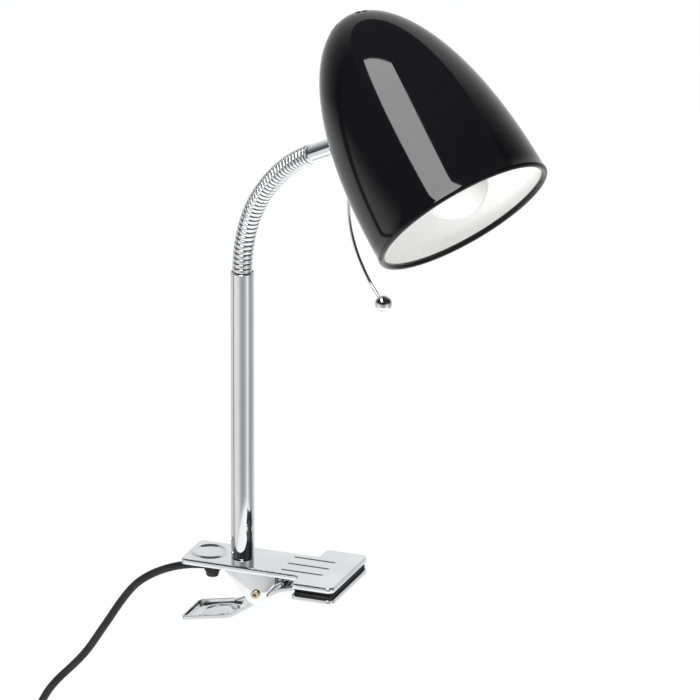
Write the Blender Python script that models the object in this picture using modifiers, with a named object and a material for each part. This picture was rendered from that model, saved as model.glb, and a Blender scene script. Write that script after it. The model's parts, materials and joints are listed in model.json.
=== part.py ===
"""Clip-on reading lamp: spring clamp, chrome post, flexible neck and bullet-shaped shade.

Units are metres and +Z is up. The origin is the centre of the upper jaw pad's gripping face, so
z = 0 is the top of the board that the clamp holds, and +X points from the handles to the jaws.
"""

import math

import bmesh
import bpy
from mathutils import Matrix, Vector

MM = 0.001
GAP = 0.3 * MM
COLLECTION = "clip_on_reading_lamp"

# Clamp: two stamped plates on one rivet
SHEET = 1.2 * MM
RIM = 3.4 * MM
PLATE_TOP = 5.2 * MM
HANDLE_END = -90.2 * MM
HANDLE_HALF = 17.0 * MM
JAW_START = -13.5 * MM
JAW_END = 13.5 * MM
JAW_HALF = 29.7 * MM
LOWER_HALF = 15.4 * MM
PIVOT = Vector((-41.0 * MM, 0.0, -10.8 * MM))
PIN_RADIUS = 2.0 * MM
RING_X = -77.0 * MM
RING_RADIUS = 10.2 * MM
LOWER_RING_ALONG = 18.5 * MM
SPRING_WIRE = 0.7 * MM
SPRING_COIL = 3.6 * MM
SPRING_REACH = 11.0 * MM
PAD_FACE_GAP = 0.4 * MM

# Post and neck
POST_X = -56.0 * MM
POST_RADIUS = 7.1 * MM
POST_BORE = 6.5 * MM
POST_LENGTH = 184.0 * MM
STUD_RADIUS = 5.0 * MM
NECK_RADIUS = 6.1 * MM
NECK_SEAT = 12.0 * MM
NECK_ARCS = ((92.0 * MM, math.radians(35)), (130.0 * MM, math.radians(27)))
NECK_HINGES = (24.0 * MM, 58.0 * MM, 92.0 * MM)
BALL_RADIUS = 6.0 * MM
SOCKET_RADIUS = 6.6 * MM
ARM_TURN = math.radians(-27.2)
FERRULE_LENGTH = 50.0 * MM
FERRULE_RADIUS = 5.9 * MM

# Shade: a turned bullet whose opening faces down and outwards
SHADE_RADIUS = 56.6 * MM
SHADE_LENGTH = 143.0 * MM
SHADE_POWER = 2.2
SHADE_WALL = 1.0 * MM
LIP_RADIUS = 1.9 * MM
SHADE_TILT = math.radians(42.9)
SHADE_JOINT_T = 85.2 * MM
SHADE_NORMAL_TILT = math.radians(19.1)
VENT_RADIUS = 3.7 * MM
VENT_CIRCLE = 13.4 * MM
VENTS = 4

# Lamp holder and bulb, on an axis beside the shade's own
HOLDER_X = -6.0 * MM
HOLDER_RADIUS = 13.0 * MM
HOLDER_TOP = 93.3 * MM
HOLDER_BOTTOM = 58.6 * MM
BULB_RADIUS = 22.5 * MM
BULB_CENTRE = 22.0 * MM
CAP_RADIUS = 6.9 * MM

# Mains lead
CORD_RADIUS = 2.4 * MM
GRIP_RADIUS = 5.0 * MM
SWITCH_SIZE = Vector((26.0, 17.0, 62.0)) * MM
SWITCH_CENTRE = Vector((-190.5, 0.0, -152.0)) * MM
ROCKER_TILT = math.radians(7)
COIL_RADIUS = 28.8 * MM
COIL_HALF = 7.2 * MM
COIL_CENTRE = Vector((-210.5, 0.0, -243.0)) * MM
PLUG_START = COIL_CENTRE + Vector((-COIL_RADIUS - 2 * CORD_RADIUS, -2 * CORD_RADIUS, -20.5 * MM))
PLUG_PIN_SPREAD = 9.3 * MM

# The free lead from the cord grip to the switch, x and z in millimetres in the plane y = 0
CORD_ROUTE = (
    (-80.9, -3.8), (-87.4, -4.4), (-94.6, -5.9), (-101.1, -8.0), (-109.1, -11.4), (-117.1, -16.0),
    (-125.2, -22.2), (-132.2, -31.2), (-138.3, -40.6), (-142.6, -47.8), (-146.8, -54.4),
    (-150.9, -61.0), (-155.5, -68.4), (-160.6, -75.2), (-166.1, -81.4), (-171.6, -87.2),
    (-177.0, -93.0), (-181.8, -99.3), (-185.6, -105.8), (-188.4, -112.0), (-190.0, -117.4), (-190.5, -120.7),
)


# ---------------------------------------------------------------- helpers


def clear_scene():
    for obj in list(bpy.data.objects):
        bpy.data.objects.remove(obj, do_unlink=True)


def new_collection(name):
    made = bpy.data.collections.new(name)
    bpy.context.scene.collection.children.link(made)
    return made


def material(name, colour, roughness, metallic=0.0):
    made = bpy.data.materials.new(name)
    made.use_nodes = True
    shader = made.node_tree.nodes["Principled BSDF"]
    shader.inputs["Base Color"].default_value = (*colour, 1.0)
    shader.inputs["Roughness"].default_value = roughness
    shader.inputs["Metallic"].default_value = metallic
    return made


def add(name, mesh, look, where=None, smooth=True):
    """A part: the mesh in a named object with its own material, placed by a matrix."""
    obj = bpy.data.objects.new(name, mesh)
    PARTS.objects.link(obj)
    own = look.copy()
    own.name = name + "_material"
    mesh.materials.clear()
    mesh.materials.append(own)
    obj.matrix_world = where if where is not None else Matrix.Identity(4)
    if smooth:
        mesh.shade_smooth()
        mesh.set_sharp_from_angle(angle=math.radians(32))
    return obj


def finished(bm, name):
    bmesh.ops.recalc_face_normals(bm, faces=bm.faces)
    mesh = bpy.data.meshes.new(name)
    bm.to_mesh(mesh)
    bm.free()
    return mesh


def evaluated(obj):
    bpy.context.view_layer.update()
    graph = bpy.context.evaluated_depsgraph_get()
    return bpy.data.meshes.new_from_object(obj.evaluated_get(graph))


def apply_modifiers(obj):
    mesh = evaluated(obj)
    obj.modifiers.clear()
    obj.data = mesh


def turned_mesh(name, profile, steps=32, closed=False):
    """A profile of (radius, height) points, top to bottom on its outer side, turned about Z."""
    bm = bmesh.new()
    verts = [bm.verts.new((r, 0.0, z)) for r, z in profile]
    for a, b in zip(verts, verts[1:]):
        bm.edges.new((a, b))
    if closed:
        bm.edges.new((verts[-1], verts[0]))
    mesh = bpy.data.meshes.new(name)
    bm.to_mesh(mesh)
    bm.free()
    obj = bpy.data.objects.new(name, mesh)
    CUTTERS.objects.link(obj)
    screw = obj.modifiers.new("turn", "SCREW")
    screw.steps = steps
    screw.render_steps = steps
    screw.use_merge_vertices = True
    screw.merge_threshold = 0.00001
    screw.use_normal_calculate = False
    made = evaluated(obj)
    bpy.data.objects.remove(obj)
    bm = bmesh.new()
    bm.from_mesh(made)
    bmesh.ops.remove_doubles(bm, verts=bm.verts, dist=0.00001)
    return finished(bm, name)


def solid_profile(points):
    """Closes an outer profile onto the axis at both ends."""
    return [(0.0, points[0][1]), *points, (0.0, points[-1][1])]


def rod_mesh(name, radius, low, high, steps=24, chamfer=0.0, bore=0.0):
    """A round bar, or a sleeve when it has a bore, between two heights."""
    if not bore:
        outer = [(radius, high), (radius, low)]
        if chamfer:
            outer = [
                (radius - chamfer, high), (radius, high - chamfer),
                (radius, low + chamfer), (radius - chamfer, low),
            ]
        return turned_mesh(name, solid_profile(outer), steps)
    ring = [
        (radius - chamfer, high), (radius, high - chamfer), (radius, low + chamfer),
        (radius - chamfer, low), (bore, low), (bore, high),
    ]
    if not chamfer:
        ring = [(radius, high), (radius, low), (bore, low), (bore, high)]
    return turned_mesh(name, ring, steps, closed=True)


def hex_nut_mesh(name, radius, bore, low, high):
    """A six-sided nut: hexagon outside, round bore inside."""
    nut = bpy.data.objects.new(name, rod_mesh(name, radius, low, high, 6))
    CUTTERS.objects.link(nut)
    hole = cutter(rod_mesh(name + "_bore", bore, low - 2 * MM, high + 2 * MM, 20))
    boolean(nut, hole, "DIFFERENCE")
    apply_modifiers(nut)
    mesh = nut.data
    bpy.data.objects.remove(nut)
    return mesh


def rounded(corners, segments=4):
    """An outline from (x, y, radius) corners, each rounded by an arc that is tangent to both sides."""
    points = []
    for i, (x, y, radius) in enumerate(corners):
        here = Vector((x, y))
        before = Vector(corners[i - 1][:2]) - here
        after = Vector(corners[(i + 1) % len(corners)][:2]) - here
        if radius <= 0.0:
            points.append(here)
            continue
        half = before.angle(after) / 2
        reach = radius / math.tan(half)
        middle = here + (before.normalized() + after.normalized()).normalized() * (radius / math.sin(half))
        start = here + before.normalized() * reach - middle
        end = here + after.normalized() * reach - middle
        turn = start.angle_signed(end)
        for k in range(segments + 1):
            part = Matrix.Rotation(-turn * k / segments, 2) @ start
            points.append(middle + part)
    return points


def prism_mesh(name, outline, low, high, to_point):
    """A flat outline given thickness; to_point turns (u, v, depth) into a place."""
    bm = bmesh.new()
    front = [bm.verts.new(to_point(p[0], p[1], low)) for p in outline]
    back = [bm.verts.new(to_point(p[0], p[1], high)) for p in outline]
    bm.faces.new(front)
    bm.faces.new(back)
    count = len(outline)
    for i in range(count):
        j = (i + 1) % count
        bm.faces.new((front[i], front[j], back[j], back[i]))
    return finished(bm, name)


def in_xz(u, v, depth):
    return (u, depth, v)


def in_xy(u, v, depth):
    return (u, v, depth)


def box_mesh(name, size, centre=(0, 0, 0), bevel=0.0, segments=2):
    bm = bmesh.new()
    bmesh.ops.create_cube(bm, size=1.0)
    bmesh.ops.scale(bm, vec=size, verts=bm.verts)
    if bevel:
        bmesh.ops.bevel(bm, geom=bm.edges, offset=bevel, segments=segments, affect="EDGES", profile=0.5)
    bmesh.ops.translate(bm, vec=centre, verts=bm.verts)
    return finished(bm, name)


def cutter(mesh, where=None):
    obj = bpy.data.objects.new(mesh.name + "_cutter", mesh)
    CUTTERS.objects.link(obj)
    obj.hide_render = True
    obj.display_type = "WIRE"
    if where is not None:
        obj.matrix_world = where
    return obj


def boolean(obj, other, operation):
    step = obj.modifiers.new(operation.lower(), "BOOLEAN")
    step.operation = operation
    step.object = other
    step.solver = "EXACT"


def carve(obj, others, operation):
    """Cuts or joins each of the others, then bakes the result and removes them."""
    for other in others:
        boolean(obj, other, operation)
    looks = list(obj.data.materials)
    apply_modifiers(obj)
    obj.data.materials.clear()
    for look in looks:
        obj.data.materials.append(look)
    for other in others:
        bpy.data.objects.remove(other)
    obj.data.shade_smooth()
    obj.data.set_sharp_from_angle(angle=math.radians(32))


def wire_object(name, points, radius, look, resolution=2):
    """A round wire along a line of points, as a curve with filled ends."""
    curve = bpy.data.curves.new(name, "CURVE")
    curve.dimensions = "3D"
    curve.bevel_depth = radius
    curve.bevel_resolution = resolution
    curve.use_fill_caps = True
    spline = curve.splines.new("POLY")
    spline.points.add(len(points) - 1)
    for knot, point in zip(spline.points, points):
        knot.co = (*point, 1.0)
    spline.use_smooth = True
    obj = bpy.data.objects.new(name, curve)
    PARTS.objects.link(obj)
    own = look.copy()
    own.name = name + "_material"
    curve.materials.append(own)
    return obj


def as_mesh(obj):
    """A curve's welded mesh, in an object of the same name at the same place."""
    name = obj.name
    look = obj.data.materials[0]
    place = obj.matrix_world.copy()
    mesh = evaluated(obj)
    bm = bmesh.new()
    bm.from_mesh(mesh)
    bmesh.ops.remove_doubles(bm, verts=bm.verts, dist=0.00001)
    mesh = finished(bm, name)
    bpy.data.objects.remove(obj)
    made = bpy.data.objects.new(name, mesh)
    PARTS.objects.link(made)
    made.matrix_world = place
    mesh.materials.clear()
    mesh.materials.append(look)
    mesh.shade_smooth()
    mesh.set_sharp_from_angle(angle=math.radians(32))
    return made


def smooth_line(knots, spacing):
    """Points about evenly spaced on the smooth curve through the knots."""
    dense = []
    for i in range(len(knots) - 1):
        p1, p2 = knots[i], knots[i + 1]
        p0 = knots[i - 1] if i else p1 * 2 - p2
        p3 = knots[i + 2] if i + 2 < len(knots) else p2 * 2 - p1
        for k in range(12):
            t = k / 12
            dense.append(
                0.5 * (2 * p1 + (p2 - p0) * t + (2 * p0 - 5 * p1 + 4 * p2 - p3) * t * t
                       + (3 * p1 - p0 - 3 * p2 + p3) * t ** 3)
            )
    dense.append(knots[-1])
    total = sum((b - a).length for a, b in zip(dense, dense[1:]))
    count = max(2, round(total / spacing))
    line = [dense[0]]
    walked = 0.0
    for a, b in zip(dense, dense[1:]):
        step = (b - a).length
        while len(line) < count and walked + step >= total * len(line) / count:
            line.append(a.lerp(b, (total * len(line) / count - walked) / step))
        walked += step
    return line[:count] + [dense[-1]]


def axis_frame(origin, direction, side=(0, 1, 0)):
    """A matrix whose Z runs along direction from origin."""
    z = Vector(direction).normalized()
    y = (Vector(side) - z * Vector(side).dot(z)).normalized()
    x = y.cross(z)
    return Matrix.Translation(origin) @ Matrix((x, y, z)).transposed().to_4x4()


# ---------------------------------------------------------------- clamp


def plate_outline(end, handle_half):
    """Paddle outline of a clamp half: a narrow handle that widens into the jaw."""
    side = [
        (end, -handle_half, 4.0 * MM),
        (JAW_START, -handle_half, 2.2 * MM),
        (JAW_START, -JAW_HALF, 3.0 * MM),
        (JAW_END, -JAW_HALF, 4.0 * MM),
    ]
    return rounded(side + [(x, -y, r) for x, y, r in reversed(side)])


def tray(name, outline, look, cuts=(), bend=None):
    """A stamped plate with a turned rim: its sheet lies on z = 0 and the rim points to +Z."""
    bm = bmesh.new()
    bm.faces.new([bm.verts.new((x, y, 0.0)) for x, y in outline])
    for x in cuts:
        bmesh.ops.bisect_plane(
            bm, geom=bm.verts[:] + bm.edges[:] + bm.faces[:], plane_co=(x, 0, 0), plane_no=(1, 0, 0)
        )
    border = [e for e in bm.edges if e.is_boundary]
    walls = bmesh.ops.extrude_edge_only(bm, edges=border)["geom"]
    for vert in [g for g in walls if isinstance(g, bmesh.types.BMVert)]:
        vert.co.z += RIM
    bmesh.ops.recalc_face_normals(bm, faces=bm.faces)
    bottom = [f for f in bm.faces if abs(f.normal.z) > 0.9]
    if bottom[0].normal.z > 0:
        bmesh.ops.reverse_faces(bm, faces=bm.faces)
    corner = [e for e in bm.edges if len(e.link_faces) == 2
              and e.link_faces[0].normal.angle(e.link_faces[1].normal) > math.radians(60)]
    bmesh.ops.bevel(bm, geom=corner, offset=1.5 * MM, segments=3, affect="EDGES", profile=0.5)
    if bend:
        for vert in bm.verts:
            vert.co = bend(vert.co)
    mesh = bpy.data.meshes.new(name)
    bm.to_mesh(mesh)
    bm.free()
    obj = add(name, mesh, look)
    shell = obj.modifiers.new("sheet", "SOLIDIFY")
    shell.thickness = SHEET
    shell.offset = -1.0
    shell.use_even_offset = True
    apply_modifiers(obj)
    return obj


def ring_boss(name, centre, up):
    """The raised finger ring pressed into a handle: a round bead standing out of the sheet."""
    bead = [
        (RING_RADIUS + 1.1 * MM * math.cos(a), 1.1 * MM * math.sin(a))
        for a in (math.radians(k) for k in range(90, -270, -60))
    ]
    return cutter(turned_mesh(name, bead, 28, closed=True), axis_frame(centre, up))


def cheek_mesh(name, outline, side, half):
    """One side plate of a clamp half, just inside the rim's outer face."""
    low, high = sorted((side * (half - 1.1 * MM), side * (half - 0.1 * MM)))
    return prism_mesh(name, outline, low, high, in_xz)


def arc_about(centre, radius, start, end, count):
    return [
        (centre.x + radius * math.cos(math.radians(start + (end - start) * k / count)),
         centre.z + radius * math.sin(math.radians(start + (end - start) * k / count)))
        for k in range(count + 1)
    ]


def pivot_hole(radius):
    along_y = axis_frame(PIVOT, (0, 1, 0), (1, 0, 0))
    return cutter(rod_mesh("pivot_hole", radius, -25 * MM, 25 * MM, 24), along_y)


def build_upper_plate():
    plate = tray("upper_plate", [(x, -y) for x, y in plate_outline(HANDLE_END, HANDLE_HALF)], CHROME)
    flip = Matrix.Translation((0, 0, PLATE_TOP)) @ Matrix.Rotation(math.pi, 4, "X")
    plate.data.transform(flip)
    cheek = [(-61.3 * MM, 3.0 * MM), (-61.3 * MM, 1.6 * MM)]
    cheek += arc_about(PIVOT, 7.2 * MM, 208, 370, 10)
    cheek += [(-29.0 * MM, -4.0 * MM), (-28.4 * MM, 3.0 * MM)]
    joined = [cutter(cheek_mesh("cheek", cheek, side, HANDLE_HALF)) for side in (-1, 1)]
    joined.append(ring_boss("ring", Vector((RING_X, 0, PLATE_TOP - 0.1 * MM)), (0, 0, 1)))
    carve(plate, joined, "UNION")
    cuts = [pivot_hole(PIN_RADIUS + 0.25 * MM)]
    hole = rod_mesh("stud_hole", STUD_RADIUS + GAP, -5 * MM, 12 * MM, 24)
    cuts.append(cutter(hole, Matrix.Translation((POST_X, 0, 0))))
    for y in (-10.7 * MM, 0.0, 10.7 * MM):
        slot = rounded([
            (-26.5 * MM, y - 0.9 * MM, 0.8 * MM), (-0.5 * MM, y - 0.9 * MM, 0.8 * MM),
            (-0.5 * MM, y + 0.9 * MM, 0.8 * MM), (-26.5 * MM, y + 0.9 * MM, 0.8 * MM),
        ], 3)
        cuts.append(cutter(prism_mesh("slot", slot, PLATE_TOP - 0.55 * MM, PLATE_TOP + 2 * MM, in_xy)))
    carve(plate, cuts, "DIFFERENCE")


# Underside of the lower plate, from the handle's end to the jaw: x and z
LOWER_LINE = [
    Vector((x, z)) * MM
    for x, z in ((-90.0, -36.5), (-57.5, -30.3), (-27.0, -9.5), (-14.5, -6.2), (13.5, -6.2))
]


def lower_station(distance):
    """Place and upward normal on the lower plate's bent line, with the corners eased."""
    ease = 2.5 * MM

    def raw(along):
        for a, b in zip(LOWER_LINE, LOWER_LINE[1:]):
            length = (b - a).length
            if along <= length or b == LOWER_LINE[-1]:
                return a + (b - a).normalized() * along
            along -= length

    before, here, after = (raw(distance + d) for d in (-ease, 0.0, ease))
    place = before * 0.25 + here * 0.5 + after * 0.25
    along = (after - before).normalized()
    return place, Vector((-along.y, along.x))


def lower_length():
    return sum((b - a).length for a, b in zip(LOWER_LINE, LOWER_LINE[1:]))


def bend_lower(point):
    """Wraps the flat stamping onto the bent line; its jaw end stays where it is."""
    place, normal = lower_station(lower_length() - (JAW_END - point.x))
    lifted = place + normal * point.z
    return Vector((lifted.x, point.y, lifted.y))


def build_lower_plate():
    flat_end = JAW_END - lower_length()
    bends = []
    walked = 0.0
    for a, b in zip(LOWER_LINE, LOWER_LINE[1:-1]):
        walked += (b - a).length
        bends += [flat_end + walked + offset * MM for offset in (-2.6, -1.3, 0.0, 1.3, 2.6)]
    plate = tray("lower_plate", plate_outline(flat_end, LOWER_HALF), CHROME, bends, bend_lower)
    cheek = [(-54.5 * MM, -27.0 * MM), (-30.0 * MM, -10.4 * MM)]
    cheek += arc_about(PIVOT, 6.0 * MM, 20, 190, 10)
    joined = [cutter(cheek_mesh("cheek", cheek, side, LOWER_HALF)) for side in (-1, 1)]
    place, normal = lower_station(LOWER_RING_ALONG)
    up = Vector((normal.x, 0, normal.y))
    joined.append(ring_boss("ring", Vector((place.x, 0, place.y)) + up * (SHEET + 0.1 * MM), up))
    carve(plate, joined, "UNION")
    carve(plate, [pivot_hole(PIN_RADIUS + 0.25 * MM)], "DIFFERENCE")


def build_pads():
    inset = SHEET + GAP
    size = Vector((JAW_END - JAW_START - 2 * inset, 2 * (JAW_HALF - inset), 0))
    middle = (JAW_END + JAW_START) / 2
    upper_high = PLATE_TOP - SHEET - GAP
    lower_high = -PAD_FACE_GAP
    lower_low = -6.2 * MM + SHEET + GAP
    for name, low, high in (("upper_pad", 0.0, upper_high), ("lower_pad", lower_low, lower_high)):
        half_x, half_y = size.x / 2, size.y / 2
        outline = rounded([
            (middle - half_x, -half_y, 2.2 * MM), (middle + half_x, -half_y, 2.6 * MM),
            (middle + half_x, half_y, 2.6 * MM), (middle - half_x, half_y, 2.2 * MM),
        ])
        add(name, prism_mesh(name, outline, low, high, in_xy), RUBBER)


def build_pivot():
    """Hollow rivet through all four cheeks, with a rolled head at each end."""
    head_in = HANDLE_HALF + GAP
    head_out = head_in + 1.2 * MM
    bore = 1.1 * MM
    profile = [
        (bore, head_out), (2.4 * MM, head_out), (2.8 * MM, head_out - 0.5 * MM), (2.8 * MM, head_in),
        (PIN_RADIUS, head_in), (PIN_RADIUS, -head_in), (2.8 * MM, -head_in),
        (2.8 * MM, -head_out + 0.5 * MM), (2.4 * MM, -head_out), (bore, -head_out),
    ]
    add("pivot_rivet", turned_mesh("pivot_rivet", profile, 24, closed=True), BRASS,
        axis_frame(PIVOT, (0, 1, 0), (1, 0, 0)))


def on_spring(angle, along):
    """A point of the spring's winding, at an angle in the XZ plane and a share of its width."""
    turned = Vector((SPRING_COIL * math.cos(angle), 0.0, SPRING_COIL * math.sin(angle)))
    return PIVOT + turned + Vector((0.0, SPRING_REACH * (2 * along - 1), 0.0))


def build_spring():
    """Torsion spring around the rivet: the winding has the upper leg, the lower leg turns with its plate."""
    first, last = math.radians(62), math.radians(-49)
    sweep = last - first - 2 * math.pi * 5
    count = 66
    points = [Vector((-64.0 * MM, -SPRING_REACH, 2.6 * MM))]
    points += [on_spring(first + sweep * k / count, k / count) for k in range(count + 1)]
    wire_object("clamp_spring", points, SPRING_WIRE, STEEL, 1)
    place, normal = lower_station(24.0 * MM)
    tip = place + normal * (SHEET + SPRING_WIRE + GAP)
    start = on_spring(last, 1.0)
    away = Vector((tip.x, SPRING_REACH, tip.y))
    start += (away - start).normalized() * GAP
    wire_object("spring_leg", [start, start.lerp(away, 0.5), away], SPRING_WIRE, STEEL, 1)


# ---------------------------------------------------------------- post and neck


def arm(h, z):
    """A point of the arm's upright plane: h out from the post's axis and z above the plate."""
    return Vector((POST_X + h * math.cos(ARM_TURN), h * math.sin(ARM_TURN), PLATE_TOP + z))


def arm_direction(angle):
    """A direction in the arm's plane, at an angle from straight up towards the shade."""
    flat = math.sin(angle)
    return Vector((flat * math.cos(ARM_TURN), flat * math.sin(ARM_TURN), math.cos(angle)))


def neck_station(distance):
    """h, z and lean from the vertical at a distance along the neck from the top of the post."""
    h, z, lean = 0.0, POST_LENGTH, 0.0
    if distance < 0:
        return h, z + distance, lean
    for radius, sweep in NECK_ARCS:
        part = min(distance / radius, sweep)
        h += radius * (math.cos(lean) - math.cos(lean + part))
        z += radius * (math.sin(lean + part) - math.sin(lean))
        lean += part
        distance -= radius * part
    return h, z, lean


def neck_length():
    return sum(radius * sweep for radius, sweep in NECK_ARCS)


def neck_point(distance):
    h, z, _ = neck_station(distance)
    return arm(h, z)


def build_post():
    place = Matrix.Translation((POST_X, 0, PLATE_TOP))
    low = GAP
    tube = rod_mesh("post_tube", POST_RADIUS, low, POST_LENGTH, 40, 0.3 * MM, POST_BORE)
    add("post_tube", tube, CHROME, place)
    stud = rod_mesh("post_stud", STUD_RADIUS, -8.2 * MM, 24 * MM, 24, 0.4 * MM, 3.2 * MM)
    add("post_stud", stud, STEEL, place)
    washer = rod_mesh("post_washer", 9.0 * MM, -2.3 * MM, -1.5 * MM, 28, 0.0, STUD_RADIUS + GAP)
    add("post_washer", washer, STEEL, place)
    add("post_nut", hex_nut_mesh("post_nut", 8.6 * MM, STUD_RADIUS + GAP, -6.2 * MM, -2.6 * MM), STEEL, place,
        smooth=False)
    bush = rod_mesh("post_bush", POST_BORE - GAP, 2.0 * MM, 20.0 * MM, 24, 0.0, STUD_RADIUS + GAP)
    add("post_bush", bush, STEEL, place)


def build_neck():
    """Four links of the flexible neck; a ball at each hinge sits in the next link's socket."""
    ends = [-NECK_SEAT, *NECK_HINGES, neck_length() - GAP]
    names = ("neck_base", "neck_link_low", "neck_link_mid", "neck_top")
    for name, start, end in zip(names, ends, ends[1:]):
        count = max(4, round((end - start) / (4 * MM)))
        points = [neck_point(start + (end - start) * k / count) for k in range(count + 1)]
        link = as_mesh(wire_object(name, points, NECK_RADIUS, CHROME, 4))
        if start > 0:
            socket = bmesh.new()
            bmesh.ops.create_uvsphere(socket, u_segments=16, v_segments=8, radius=SOCKET_RADIUS)
            tool = cutter(finished(socket, "socket"), Matrix.Translation(neck_point(start)))
            carve(link, [tool], "DIFFERENCE")
        if end in NECK_HINGES:
            ball = bmesh.new()
            bmesh.ops.create_uvsphere(ball, u_segments=16, v_segments=8, radius=BALL_RADIUS)
            carve(link, [cutter(finished(ball, "ball"), Matrix.Translation(neck_point(end)))], "UNION")


# ---------------------------------------------------------------- shade and lamp


def shade_radius(t, radius, length):
    """Radius of the bullet at a height above its opening."""
    return radius * math.sqrt(max(0.0, 1.0 - (t / length) ** SHADE_POWER))


def head_frame():
    """The shade's frame: origin at its opening, Z to its tip and X to the side that the neck holds."""
    apex = Vector((-math.cos(SHADE_TILT) * math.cos(ARM_TURN), -math.cos(SHADE_TILT) * math.sin(ARM_TURN),
                   math.sin(SHADE_TILT)))
    back = Vector((-math.sin(SHADE_TILT) * math.cos(ARM_TURN), -math.sin(SHADE_TILT) * math.sin(ARM_TURN),
                   -math.cos(SHADE_TILT)))
    turn = Matrix((back, apex.cross(back), apex)).transposed().to_4x4()
    _, _, lean = neck_station(neck_length())
    wall = neck_point(neck_length()) + arm_direction(lean) * FERRULE_LENGTH
    joint = Vector((shade_radius(SHADE_JOINT_T, SHADE_RADIUS, SHADE_LENGTH), 0, SHADE_JOINT_T))
    return Matrix.Translation(wall - turn.to_3x3() @ joint) @ turn


def joint_frame():
    """On the shade's wall, with Z out of it along the ferrule, in the shade's own frame."""
    joint = Vector((shade_radius(SHADE_JOINT_T, SHADE_RADIUS, SHADE_LENGTH), 0, SHADE_JOINT_T))
    out = (math.cos(SHADE_NORMAL_TILT), 0, math.sin(SHADE_NORMAL_TILT))
    return axis_frame(joint, out)


def build_shade():
    steps = 12
    outer = []
    for k in range(steps):
        t = SHADE_LENGTH * math.cos(math.pi / 2 * k / steps)
        outer.append((shade_radius(t, SHADE_RADIUS, SHADE_LENGTH), t))
    lip_centre = SHADE_RADIUS - LIP_RADIUS + 0.5 * MM
    lip = [
        (lip_centre + LIP_RADIUS * math.cos(math.radians(a)), LIP_RADIUS * (1 + math.sin(math.radians(a))))
        for a in (35, -25, -90, -155, -215)
    ]
    inner = []
    for k in range(steps - 1, -1, -1):
        t = (SHADE_LENGTH - SHADE_WALL) * math.cos(math.pi / 2 * k / steps)
        if t > 2 * LIP_RADIUS + 1 * MM:
            inner.append((shade_radius(t, SHADE_RADIUS - SHADE_WALL, SHADE_LENGTH - SHADE_WALL), t))
    outer = [p for p in outer if p[1] > 2 * LIP_RADIUS]
    outer[0] = (0.0, SHADE_LENGTH)
    inner[-1] = (0.0, SHADE_LENGTH - SHADE_WALL)
    shade = add("shade", turned_mesh("shade", outer + lip + inner, 40), BLACK_GLOSS, HEAD)
    cuts = []
    for k in range(VENTS):
        angle = 2 * math.pi * k / VENTS
        hole = rod_mesh("vent", VENT_RADIUS, SHADE_LENGTH - 20 * MM, SHADE_LENGTH + 5 * MM, 16)
        place = Matrix.Translation((VENT_CIRCLE * math.cos(angle), VENT_CIRCLE * math.sin(angle), 0))
        cuts.append(cutter(hole, HEAD @ place))
    cuts.append(cutter(rod_mesh("joint_hole", 5.3 * MM, -6 * MM, 6 * MM, 20), HEAD @ joint_frame()))
    cuts.append(cutter(rod_mesh("wire_hole", 1.3 * MM, -5 * MM, 5 * MM, 12), HEAD @ wire_frame()))
    carve(shade, cuts, "DIFFERENCE")


def wire_frame():
    """Where the grip wire leaves the wall, below the neck joint, with Z straight out."""
    t = 70.0 * MM
    joint = Vector((shade_radius(t, SHADE_RADIUS, SHADE_LENGTH), 0, t))
    return axis_frame(joint, (math.cos(math.radians(12)), 0, math.sin(math.radians(12))))


def build_joint():
    """Ferrule that the neck ends in, bolted square to the shade's wall through a collar."""
    place = HEAD @ joint_frame()
    collar_top = 1.9 * MM
    length = FERRULE_LENGTH - GAP
    ferrule = [
        (FERRULE_RADIUS - 0.7 * MM, length), (FERRULE_RADIUS, length - 0.7 * MM),
        (FERRULE_RADIUS, collar_top + GAP + 0.5 * MM), (FERRULE_RADIUS - 0.5 * MM, collar_top + GAP),
        (4.8 * MM, collar_top + GAP), (4.8 * MM, -8.6 * MM),
    ]
    add("ferrule", turned_mesh("ferrule", solid_profile(ferrule), 28), CHROME, place)
    collar = rod_mesh("joint_collar", 8.0 * MM, GAP, collar_top, 32, 0.5 * MM, 5.2 * MM)
    add("joint_collar", collar, CHROME, place)
    nut = hex_nut_mesh("joint_nut", 7.6 * MM, 5.2 * MM, -7.2 * MM, -4.2 * MM)
    add("joint_nut", nut, STEEL, place, smooth=False)


def build_bracket():
    """Bent strip inside the shade: one leg under the joint nut, the other over the lamp holder."""
    joint = joint_frame()
    out = joint.to_3x3() @ Vector((0, 0, 1))
    up = Vector((-out.z, 0, out.x))
    foot = joint.translation
    near, far = -2.2 * MM, -3.7 * MM
    top = HOLDER_TOP + GAP
    thick = 1.5 * MM

    def on_leg(depth, along):
        return foot + out * depth + up * along

    def leg_at(depth, height):
        """The point of the sloping leg's face at a height above the opening."""
        start = on_leg(depth, 0.0)
        return start + up * ((height - start.z) / up.z)

    outline = [
        on_leg(near, -8 * MM), leg_at(near, top + thick), Vector((HOLDER_X - 8 * MM, 0, top + thick)),
        Vector((HOLDER_X - 8 * MM, 0, top)), leg_at(far, top), on_leg(far, -8 * MM),
    ]
    mesh = prism_mesh("holder_bracket", [(p.x, p.z) for p in outline], -6 * MM, 6 * MM, in_xz)
    bracket = add("holder_bracket", mesh, STEEL, HEAD, smooth=False)
    holes = [
        cutter(rod_mesh("bracket_hole", 5.2 * MM, -6 * MM, 0.0, 20), HEAD @ joint),
        cutter(rod_mesh("nipple_hole", 4.4 * MM, -5 * MM, 10 * MM, 20),
               HEAD @ Matrix.Translation((HOLDER_X, 0, HOLDER_TOP))),
    ]
    carve(bracket, holes, "DIFFERENCE")


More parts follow.
